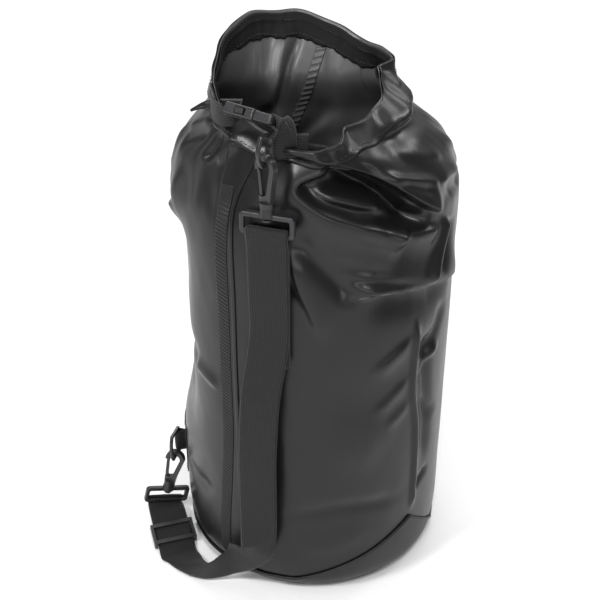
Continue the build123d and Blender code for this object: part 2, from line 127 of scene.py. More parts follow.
def end_caps(rows: int, loop: int) -> list[list[int]]:
    """Faces that close both ends of a tube.

    Args:
        rows: number of rings.
        loop: number of vertices in a ring.

    Returns:
        The first ring, turned round, and the last one.
    """
    return [list(range(loop))[::-1], list(range((rows - 1) * loop, rows * loop))]


def unit(v: Array) -> Array:
    """Vectors scaled to length one along their last axis.

    Args:
        v: the vectors.

    Returns:
        The scaled vectors.
    """
    return v / np.maximum(np.linalg.norm(v, axis=-1, keepdims=True), 1e-12)


def catmull_rom(points: Array, samples: int) -> Array:
    """Smooth line through points, evenly sampled in its parameter.

    Each span is the usual cubic of its two ends and their neighbours, with the end points repeated.

    Args:
        points: the points to pass through, one row each.
        samples: how many rows to return.

    Returns:
        The sampled rows.
    """
    p = np.vstack([2 * points[0] - points[1], points, 2 * points[-1] - points[-2]])
    t = np.linspace(0.0, len(points) - 1.0, samples)
    i = np.minimum(t.astype(int), len(points) - 2)
    f = (t - i)[:, None]
    a, b, c, d = p[i], p[i + 1], p[i + 2], p[i + 3]
    slope, bend, twist = c - a, 2 * a - 5 * b + 4 * c - d, 3 * b - a - 3 * c + d
    return 0.5 * (2 * b + slope * f + bend * f**2 + twist * f**3)


def grid_faces(rows: int, columns: int, wrap_rows: bool, wrap_columns: bool) -> Array:
    """Quads of a grid whose vertex (r, c) is number r * columns + c, wound row by row.

    Args:
        rows: number of vertex rows.
        columns: number of vertices in a row.
        wrap_rows: whether the last row joins the first.
        wrap_columns: whether the last column joins the first.

    Returns:
        One row of four vertex numbers per quad.
    """
    r = np.arange(rows if wrap_rows else rows - 1)[:, None]
    c = np.arange(columns if wrap_columns else columns - 1)[None, :]
    r2, c2 = (r + 1) % rows, (c + 1) % columns
    corners = [r * columns + c, r * columns + c2, r2 * columns + c2, r2 * columns + c]
    return np.stack(corners, -1).reshape(-1, 4)


def make_object(name: str, points: Array, faces: Sequence, uv: Array | None = None) -> bpy.types.Object:
    """New smooth-shaded mesh object at the origin.

    Args:
        name: the piece's name.
        points: vertex places, one row each.
        faces: vertex numbers of each face.
        uv: one (u, v) row per vertex, in metres along the surface, or None.

    Returns:
        The object, linked to the scene.
    """
    mesh = bpy.data.meshes.new(name)
    vertices = np.asarray(points, float).reshape(-1, 3).tolist()
    mesh.from_pydata(vertices, [], [list(map(int, f)) for f in faces])
    mesh.update()
    if uv is not None:
        corner = np.zeros(len(mesh.loops), np.int32)
        mesh.loops.foreach_get("vertex_index", corner)
        layer = mesh.uv_layers.new(name="UVMap")
        layer.uv.foreach_set("vector", np.asarray(uv, np.float32).reshape(-1, 2)[corner].ravel())
    mesh.polygons.foreach_set("use_smooth", np.ones(len(mesh.polygons), bool))
    obj = bpy.data.objects.new(name, mesh)
    bpy.context.scene.collection.objects.link(obj)
    return obj


def band_object(name: str, front: Array, normal: Array, thickness: float,
                uv: Array) -> bpy.types.Object:
    """Thin strip with rounded edges around a grid of points on its middle surface.

    The profile across is carried to both sides of the middle: the front side is the middle plus half the
    thickness along the normal, the back side is it minus as much, and the first and last points across
    are shared, which rounds the edges. It is a tube along the strip with its ends capped.

    Args:
        name: the piece's name.
        front: middle points, rows along the strip and columns across it.
        normal: unit normals at the same points.
        thickness: thickness of the strip.
        uv: (along, across) at the same points, in metres.

    Returns:
        The object.
    """
    rows, columns = front.shape[:2]
    edge = np.sin(np.linspace(0.0, math.pi, columns)) ** EDGE_POWER
    lift = normal * (edge * thickness / 2)[None, :, None]
    top, bottom = front + lift, (front - lift)[:, 1:-1][:, ::-1]
    points = np.concatenate([top, bottom], 1)
    loop = points.shape[1]
    uvs = np.concatenate([uv, uv[:, 1:-1][:, ::-1]], 1)
    faces = grid_faces(rows, loop, False, True).tolist() + end_caps(rows, loop)
    obj = make_object(name, points, faces, uvs)
    fix_normals(obj)
    return obj


def fix_normals(obj: bpy.types.Object) -> None:
    """Turns every face of a closed mesh to point outwards.

    Args:
        obj: the object that holds the mesh.
    """
    work = bmesh.new()
    work.from_mesh(obj.data)
    bmesh.ops.recalc_face_normals(work, faces=work.faces)
    work.to_mesh(obj.data)
    work.free()


def ribbon(name: str, centre: Array, across: Array, width: float, thickness: float, columns: int = 11,
           square: bool = True) -> bpy.types.Object:
    """Flat webbing carried along a path.

    A point is the centre plus s times the unit across vector, for s from minus to plus half the width.
    The normal is the path's direction crossed with the across vector.

    Args:
        name: the piece's name.
        centre: points of the middle line.
        across: rough direction across the webbing at each of them.
        width: width of the webbing.
        thickness: its thickness.
        columns: points across.
        square: whether the across direction is first turned square to the path. Without it the webbing can
            crease on a slant.

    Returns:
        The object, with a UV map of metres along and across.
    """
    ahead = unit(np.gradient(centre, axis=0))
    flat = unit(across - ahead * (across * ahead).sum(-1, keepdims=True))
    side = flat if square else unit(across)
    normal = np.cross(ahead, flat)
    s = np.linspace(-width / 2, width / 2, columns)
    points = centre[:, None] + side[:, None] * s[None, :, None]
    along = np.concatenate([[0.0], np.cumsum(np.linalg.norm(np.diff(centre, axis=0), axis=1))])
    normals = np.broadcast_to(normal[:, None], points.shape)
    return band_object(name, points, normals, thickness, uv_grid(along, s))


def stitches(name: str, places: Array, ahead: Array, normal: Array, length: float,
             radius: float) -> bpy.types.Object:
    """Row of thread stitches, each a small closed grain bowed up from the cloth.

    Along a stitch, t runs from -1 to 1. Its middle line is t times half the length ahead, its radius is
    the thread's times the fourth root of (1 - t squared), and it is lifted by half a radius in the middle.

    Args:
        name: the piece's name.
        places: middle of each stitch, on the cloth.
        ahead: direction of each stitch.
        normal: the cloth's outward normal there.
        length: length of a stitch.
        radius: radius of the thread.

    Returns:
        The object.
    """
    rings, sides = 5, 5
    t = np.linspace(-STITCH_END, STITCH_END, rings)
    turn = np.linspace(0, WHOLE_TURN, sides, endpoint=False)
    ahead, normal = unit(ahead), unit(normal)
    side = np.cross(normal, ahead)
    size = radius * (1 - t**2) ** 0.25
    core = (places[:, None] + ahead[:, None] * (t * length / 2)[None, :, None]
            + normal[:, None] * (radius * 0.5 * (1 - t**2))[None, :, None])
    ring = (side[:, None, None] * (size[:, None] * np.cos(turn))[None, :, :, None]
            + normal[:, None, None] * (size[:, None] * np.sin(turn))[None, :, :, None])
    points = (core[:, :, None] + ring).reshape(len(places), rings * sides, 3)
    one = grid_faces(rings, sides, False, True)
    quads = (one[None] + (np.arange(len(places)) * rings * sides)[:, None, None]).reshape(-1, 4)
    starts = np.arange(len(places))[:, None] * rings * sides
    first = (starts + np.arange(sides)[None, ::-1]).tolist()
    last = (starts + (rings - 1) * sides + np.arange(sides)[None]).tolist()
    obj = make_object(name, points, quads.tolist() + first + last)
    fix_normals(obj)
    return obj


# ------------------------------------------------------------------------------------------- finishes
class Sockets:
    """Small builder of a material's node tree."""

    def __init__(self, name: str) -> None:
        """Starts a material that holds a Principled shader and an output.

        Args:
            name: the material's name.
        """
        self.material = bpy.data.materials.new(name)
        self.material.use_nodes = True
        self.tree = self.material.node_tree
        self.shader = self.tree.nodes["Principled BSDF"]

    def node(self, kind: str, **values: object) -> bpy.types.Node:
        """Adds a node.

        Args:
            kind: Blender's name of the node.
            values: one named in_N sets input N, and any other sets a property.

        Returns:
            The node.
        """
        made = self.tree.nodes.new(kind)
        for key, value in values.items():
            if key.startswith("in_"):
                made.inputs[int(key[3:])].default_value = value
            else:
                setattr(made, key, value)
        return made

    def link(self, source: bpy.types.NodeSocket, target: bpy.types.NodeSocket) -> None:
        """Joins two sockets.

        Args:
            source: an output.
            target: the input that it feeds.
        """
        self.tree.links.new(source, target)

    def maths(self, operation: str, a: object, b: object = 0.0, clamp: bool = False) -> bpy.types.NodeSocket:
        """Math node of two inputs, each a socket or a number.

        Args:
            operation: Blender's name of the operation.
            a: first input.
            b: second input.
            clamp: whether the result is held between 0 and 1.

        Returns:
            Its output.
        """
        made = self.node("ShaderNodeMath", operation=operation, use_clamp=clamp)
        for socket, value in zip(made.inputs, (a, b)):
            if isinstance(value, bpy.types.NodeSocket):
                self.link(value, socket)
            else:
                socket.default_value = value
        return made.outputs[0]

    def noise(self, vector: bpy.types.NodeSocket, scale: float, detail: float = 3.0,
              rough: float = 0.5) -> bpy.types.NodeSocket:
        """Noise texture's value at a vector.

        Args:
            vector: where to read it.
            scale: grains per metre.
            detail: number of finer layers.
            rough: strength of each finer layer.

        Returns:
            A value round 0.5.
        """
        made = self.node("ShaderNodeTexNoise")
        made.inputs["Scale"].default_value = scale
        made.inputs["Detail"].default_value = detail
        made.inputs["Roughness"].default_value = rough
        self.link(vector, made.inputs["Vector"])
        return made.outputs["Fac"]

    def span(self, value: bpy.types.NodeSocket, low: float, high: float, to_low: float,
             to_high: float) -> bpy.types.NodeSocket:
        """Maps one range of a value to another, held at both ends.

        Args:
            value: the value.
            low: bottom of its range.
            high: top of its range.
            to_low: result at the bottom.
            to_high: result at the top.

        Returns:
            The result.
        """
        made = self.node("ShaderNodeMapRange", clamp=True)
        self.link(value, made.inputs["Value"])
        for key, number in zip(("From Min", "From Max", "To Min", "To Max"), (low, high, to_low, to_high)):
            made.inputs[key].default_value = number
        return made.outputs["Result"]

    def tint(self, factor: bpy.types.NodeSocket, dark: Sequence[float],
             light: Sequence[float]) -> bpy.types.NodeSocket:
        """Colour that runs from dark to light.

        Args:
            factor: 0 for dark and 1 for light.
            dark: red, green and blue.
            light: red, green and blue.

        Returns:
            The colour.
        """
        made = self.node("ShaderNodeMix", data_type="RGBA")
        self.link(factor, made.inputs["Factor"])
        made.inputs["A"].default_value = (*dark, 1.0)
        made.inputs["B"].default_value = (*light, 1.0)
        return made.outputs["Result"]

    def bump(self, heights: Sequence[tuple[bpy.types.NodeSocket, float]]) -> None:
        """Chains bump nodes into the shader's normal.

        Args:
            heights: a height and its depth in metres, for each.
        """
        before = None
        for height, depth in heights:
            made = self.node("ShaderNodeBump")
            made.inputs["Strength"].default_value = 1.0
            made.inputs["Distance"].default_value = depth
            self.link(height, made.inputs["Height"])
            if before is not None:
                self.link(before, made.inputs["Normal"])
            before = made.outputs["Normal"]
        self.link(before, self.shader.inputs["Normal"])

    def fixed(self, **values: float) -> None:
        """Sets the shader's own sockets to constant values.

        Args:
            values: a socket's name, with underscores for spaces, and its value.
        """
        for key, value in values.items():
            self.shader.inputs[key.replace("_", " ")].default_value = value


@dataclass(frozen=True)
class CoatedFabric:
    """Satin coated fabric: a near-black film over a woven scrim that just shows through.

    The colour and gloss drift over a hand's breadth, fine pebbling breaks up the highlights, and handling
    marks leave slightly duller patches. scrim is the depth in metres to which the weave shows through,
    shine the strength of the mirror-like share, and weave_turn the weave's radians per metre. The others
    are the numbers of grains per metre.
    """

    name: str = "satin_coated_fabric"
    dark: tuple[float, float, float] = (0.0045, 0.0045, 0.0048)
    light: tuple[float, float, float] = (0.0075, 0.0075, 0.0079)
    gloss_low: float = 0.28
    gloss_high: float = 0.36
    scrim: float = 0.000008
    shine: float = 0.36
    weave_turn: float = 5200.0
    drift_scale: float = 14.0
    scuff_scale: float = 130.0
    pebble_scale: float = 2200.0

    def build(self) -> bpy.types.Material:
        """Makes the material."""
        s = Sockets(self.name)
        place = s.node("ShaderNodeTexCoord").outputs["Object"]
        drift = s.noise(place, self.drift_scale, 4.0, 0.55)
        pebble = s.noise(place, self.pebble_scale, 2.0, 0.6)
        scuff = s.noise(place, self.scuff_scale, 6.0, 0.7)
        split = s.node("ShaderNodeSeparateXYZ")
        s.link(place, split.inputs[0])
        around = s.maths("ADD", split.outputs["X"], split.outputs["Y"])
        warp = s.maths("SINE", s.maths("MULTIPLY", around, self.weave_turn))
        weft = s.maths("SINE", s.maths("MULTIPLY", split.outputs["Z"], self.weave_turn))
        weave = s.maths("MULTIPLY", warp, weft)
        s.link(s.tint(drift, self.dark, self.light), s.shader.inputs["Base Color"])
        gloss = s.span(drift, 0.3, 0.7, self.gloss_low, self.gloss_high)
        marks = s.span(scuff, 0.55, 0.8, 0.0, 0.05)
        s.link(s.maths("ADD", gloss, marks, True), s.shader.inputs["Roughness"])
        s.bump([(drift, 0.0002), (scuff, 0.00003), (pebble, 0.000014), (weave, self.scrim)])
        s.fixed(Specular_IOR_Level=self.shine)
        return s.material


@dataclass(frozen=True)
class WovenTape:
    """Woven webbing in the strip's own UV metres: ribs along it, crossed by weft picks, with fuzz.

    ribs is the pitch of the lengthwise cords and picks the pitch of the weft, both in metres. The ribs
    shift by half a pick from one to the next, which gives the plain weave's brick pattern. depth is the
    height of the weave in metres, sheen the strength of the fuzz that glows at a low angle, and shine the
    strength of the mirror-like share. The colour runs from dark in the gaps between cords and picks to
    light on their crowns, which is painted shade, and the fuzz adds random tone.
    """

    name: str = "woven_webbing"
    dark: tuple[float, float, float] = (0.002, 0.002, 0.0022)
    light: tuple[float, float, float] = (0.022, 0.022, 0.0234)
    ribs: float = 0.0021
    picks: float = 0.0019
    depth: float = 0.00032
    rough: float = 0.62
    sheen: float = 0.1
    shine: float = 0.22

    def build(self) -> bpy.types.Material:
        """Makes the material."""
        s = Sockets(self.name)
        coordinates = s.node("ShaderNodeTexCoord")
        split = s.node("ShaderNodeSeparateXYZ")
        s.link(coordinates.outputs["UV"], split.inputs[0])
        along, across = split.outputs["X"], split.outputs["Y"]
        wobble = s.noise(coordinates.outputs["Object"], 60.0, 3.0)
        shift = s.maths("MULTIPLY", wobble, 0.0012)
        rib_at = s.maths("DIVIDE", s.maths("ADD", across, shift), self.ribs)
        rib = s.maths("ABSOLUTE", s.maths("SINE", s.maths("MULTIPLY", rib_at, math.pi)))
        stagger = s.maths("MULTIPLY", s.maths("FLOOR", rib_at), 0.5)
        pick_at = s.maths("ADD", s.maths("DIVIDE", along, self.picks), stagger)
        pick = s.maths("ABSOLUTE", s.maths("SINE", s.maths("MULTIPLY", pick_at, math.pi)))
        weave = s.maths("MULTIPLY", s.maths("POWER", rib, 0.6), s.maths("POWER", pick, 0.5))
        fuzz = s.noise(coordinates.outputs["Object"], 3800.0, 3.0, 0.7)
        # Painted shade: the colour darkens into the gaps between cords and picks, and the fuzz adds random
        # tone.
        gap_shade_and_fuzz_tone = s.maths("MULTIPLY", weave, s.span(fuzz, 0.2, 0.8, 0.55, 1.15))
        s.link(s.tint(gap_shade_and_fuzz_tone, self.dark, self.light), s.shader.inputs["Base Color"])
        s.link(s.span(fuzz, 0.2, 0.8, self.rough - 0.1, self.rough + 0.18), s.shader.inputs["Roughness"])
        s.bump([(weave, self.depth), (fuzz, 0.00006)])
        s.fixed(Sheen_Weight=self.sheen, Sheen_Roughness=0.4, Specular_IOR_Level=self.shine)
        return s.material


@dataclass(frozen=True)
class MouldedPlastic:
    """Injection-moulded plastic: spark-eroded grain, gloss that wears up in patches and hairline scuffs."""

    name: str = "moulded_acetal"
    dark: tuple[float, float, float] = (0.010, 0.010, 0.011)
    light: tuple[float, float, float] = (0.020, 0.020, 0.022)
    gloss_low: float = 0.28
    gloss_high: float = 0.42

    def build(self) -> bpy.types.Material:
        """Makes the material."""
        s = Sockets(self.name)
        place = s.node("ShaderNodeTexCoord").outputs["Object"]
        drift = s.noise(place, 90.0, 4.0)
        grain = s.noise(place, 3600.0, 2.0, 0.7)
        squash = s.node("ShaderNodeMapping", in_3=(1.0, 1.0, 0.12))
        s.link(place, squash.inputs[0])
        scratch = s.noise(squash.outputs[0], 900.0, 4.0, 0.8)
        s.link(s.tint(drift, self.dark, self.light), s.shader.inputs["Base Color"])
        base = s.span(drift, 0.3, 0.7, self.gloss_low, self.gloss_high)
        worn = s.span(scratch, 0.6, 0.8, 0.0, 0.18)
        s.link(s.maths("ADD", base, worn, True), s.shader.inputs["Roughness"])
        s.bump([(grain, 0.00003), (scratch, 0.00002)])
        s.fixed(Specular_IOR_Level=0.5)
        return s.material


@dataclass(frozen=True)
class BlackenedSteel:
    """Small blackened steel pin, rubbed bright in fine turned rings."""

    name: str = "blackened_steel"

    def build(self) -> bpy.types.Material:
        """Makes the material."""
        s = Sockets(self.name)
        place = s.node("ShaderNodeTexCoord").outputs["Object"]
        rub = s.noise(place, 1500.0, 4.0, 0.7)
        s.link(s.tint(rub, (0.05, 0.05, 0.055), (0.22, 0.22, 0.23)), s.shader.inputs["Base Color"])
        s.link(s.span(rub, 0.3, 0.7, 0.25, 0.45), s.shader.inputs["Roughness"])
        s.bump([(rub, 0.00002)])
        s.fixed(Metallic=1.0)
        return s.material


@dataclass(frozen=True)
class Thread:
    """Bonded thread: twisted plies, their colour lighter along each twist as a painted highlight."""

    name: str = "bonded_thread"

    def build(self) -> bpy.types.Material:
        """Makes the material."""
        s = Sockets(self.name)
        place = s.node("ShaderNodeTexCoord").outputs["Object"]
        twist = s.node("ShaderNodeTexWave", bands_direction="DIAGONAL")
        twist.inputs["Scale"].default_value = 900.0
        twist.inputs["Distortion"].default_value = 1.5
        s.link(place, twist.inputs["Vector"])
        # Painted highlight: the colour runs lighter along the twist's bands, standing in for light on the
        # plies.
        s.link(s.tint(twist.outputs["Fac"], (0.012, 0.012, 0.012), (0.05, 0.05, 0.052)),
               s.shader.inputs["Base Color"])
        s.link(s.span(s.noise(place, 900.0), 0.3, 0.7, 0.4, 0.55), s.shader.inputs["Roughness"])
        s.bump([(twist.outputs["Fac"], 0.00008)])
        return s.material


@dataclass(frozen=True)
class StudioPaper:
    """Plain pale floor with a breath of mottling."""

    name: str = "pale_paper"

    def build(self) -> bpy.types.Material:
        """Makes the material."""
        s = Sockets(self.name)
        place = s.node("ShaderNodeTexCoord").outputs["Object"]
        mottle = s.noise(place, 5.0, 3.0)
        s.link(s.tint(mottle, (0.88, 0.88, 0.88), (0.92, 0.92, 0.92)), s.shader.inputs["Base Color"])
        s.fixed(Roughness=0.75, Specular_IOR_Level=0.2)
        return s.material


class Slot(Enum):
    """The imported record's material slots."""

    FABRIC = "pvc_fabric"
    BASE = "base_fabric"
    WELD = "weld_tape"
    WEBBING = "webbing"
    HEM = "hem_band"
    THREAD = "thread"
    PLASTIC = "moulded_plastic"
    RING = "ring_plastic"
    STEEL = "pin_steel"


@dataclass
class Wardrobe:
    """Every finish of the bag, one per slot, and a lighter copy of the fabric for its inside, partly its own
    lighter inner coating and partly painted fill light for the shaded inside of the mouth.
    """

    materials: dict[Slot, bpy.types.Material] = field(default_factory=dict)
    lining_with_painted_fill: bpy.types.Material | None = None

    def __post_init__(self) -> None:
        """Builds the finishes."""
        # Painted light: the inside's colour is many times the outside's. It is partly a lighter inner coating
        # and partly painted fill light for the shaded inside of the mouth.
        self.lining_with_painted_fill = CoatedFabric("inner_coating_with_painted_fill", (0.060, 0.060, 0.061), (0.085, 0.085, 0.086),
                                   gloss_low=0.32, gloss_high=0.42).build()
        self.materials = {
            Slot.FABRIC: CoatedFabric().build(),
            Slot.BASE: CoatedFabric("satin_base_fabric", gloss_low=0.36, gloss_high=0.48).build(),
            Slot.WELD: CoatedFabric("pressed_weld", gloss_low=0.38, gloss_high=0.5, scrim=0.00004).build(),
            Slot.WEBBING: WovenTape().build(),
            Slot.HEM: WovenTape("hem_band", (0.004, 0.004, 0.0042), (0.014, 0.0138, 0.0136), ribs=0.0011,
                                picks=0.0012, depth=0.00012, rough=0.76, sheen=0.0, shine=0.15).build(),
            Slot.THREAD: Thread().build(),
            Slot.PLASTIC: MouldedPlastic().build(),
            Slot.RING: MouldedPlastic("polished_acetal", gloss_low=0.2, gloss_high=0.32).build(),
            Slot.STEEL: BlackenedSteel().build(),
        }

    def dress(self, obj: bpy.types.Object, slot: Slot, body: str, *nodes: str) -> bpy.types.Object:
        """Gives a new piece its finish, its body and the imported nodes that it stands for.

        Args:
            obj: the piece.
            slot: its material slot.
            body: the body it rides on, or an empty word if it is blended between two.
            nodes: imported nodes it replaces.

        Returns:
            The piece.
        """
        obj.data.materials.clear()
        obj.data.materials.append(self.materials[slot])
        if nodes:
            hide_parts(*nodes)
        if body:
            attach(obj, body)
        LOG.info("%s: %d faces, rides on %s", obj.name, len(obj.data.polygons), body or "two bodies")
        return obj

    def redress(self, node: str, slot: Slot) -> None:
        """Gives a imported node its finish.

        Args:
            node: the node's name.
            slot: its material slot.
        """
        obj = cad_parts[node]
        obj.data.materials.clear()
        obj.data.materials.append(self.materials[slot])
        LOG.info("%s: packed node in %s", node, slot.value)


# ------------------------------------------------------------------------------------------- the fabric
@dataclass(frozen=True)
class Fold:
    """One fold of the fabric: a crest, or a furrow if its height is negative.

    path holds (degrees round the bag, height above the floor in mm). Across the path the fold falls off
    as the bell exp(-(distance / width) squared), with its own width on each side, so that a narrow side
    makes a sharp crease and a wide one a soft swell. fade is the share of the path over which it grows
    from nothing at each end.
    """

    path: tuple[tuple[float, float], ...]
    height: float
    left: float
    right: float
    fade: float = 0.25

    def relief(self, degrees: Array, z: Array, radius: float) -> Array:
        """Outward height of this fold, in metres.

        The nearest point of the path gives the distance, the side and the share of the way along.

        Args:
            degrees: angles round the bag.
            z: heights above the floor, in metres.
            radius: radius that turns an angle into a length.

        Returns:
            The height at each point.
        """
        route = np.array(self.path, float)
        line = catmull_rom(route, 6 * (len(route) - 1) + 1) if len(route) > 2 else route
        centre = line[:, 0].mean()
        x, y = np.radians(turn_from(degrees, centre)) * radius, z
        lx, ly = np.radians(line[:, 0] - centre) * radius, line[:, 1] * MM
        steps = np.hypot(np.diff(lx), np.diff(ly))
        length = steps.sum()
        best = np.full(x.shape, 1e9)
        side = np.ones(x.shape)
        share = np.zeros(x.shape)
        walked = 0.0
        for i, step in enumerate(steps):
            dx, dy = (lx[i + 1] - lx[i]) / step, (ly[i + 1] - ly[i]) / step
            px, py = x - lx[i], y - ly[i]
            t = np.clip(px * dx + py * dy, 0.0, step)
            away = np.hypot(px - t * dx, py - t * dy)
            nearer = away < best
            best = np.where(nearer, away, best)
            side = np.where(nearer, np.sign(dx * py - dy * px), side)
            share = np.where(nearer, (walked + t) / length, share)
            walked += step
        width = np.where(side > 0, self.left, self.right) * MM
        grow = 1.0
        if self.fade > 0:
            grow = smoothstep(0.0, self.fade, share) * smoothstep(0.0, self.fade, 1.0 - share)
        return self.height * MM * grow * bell(best, 0.0, width)


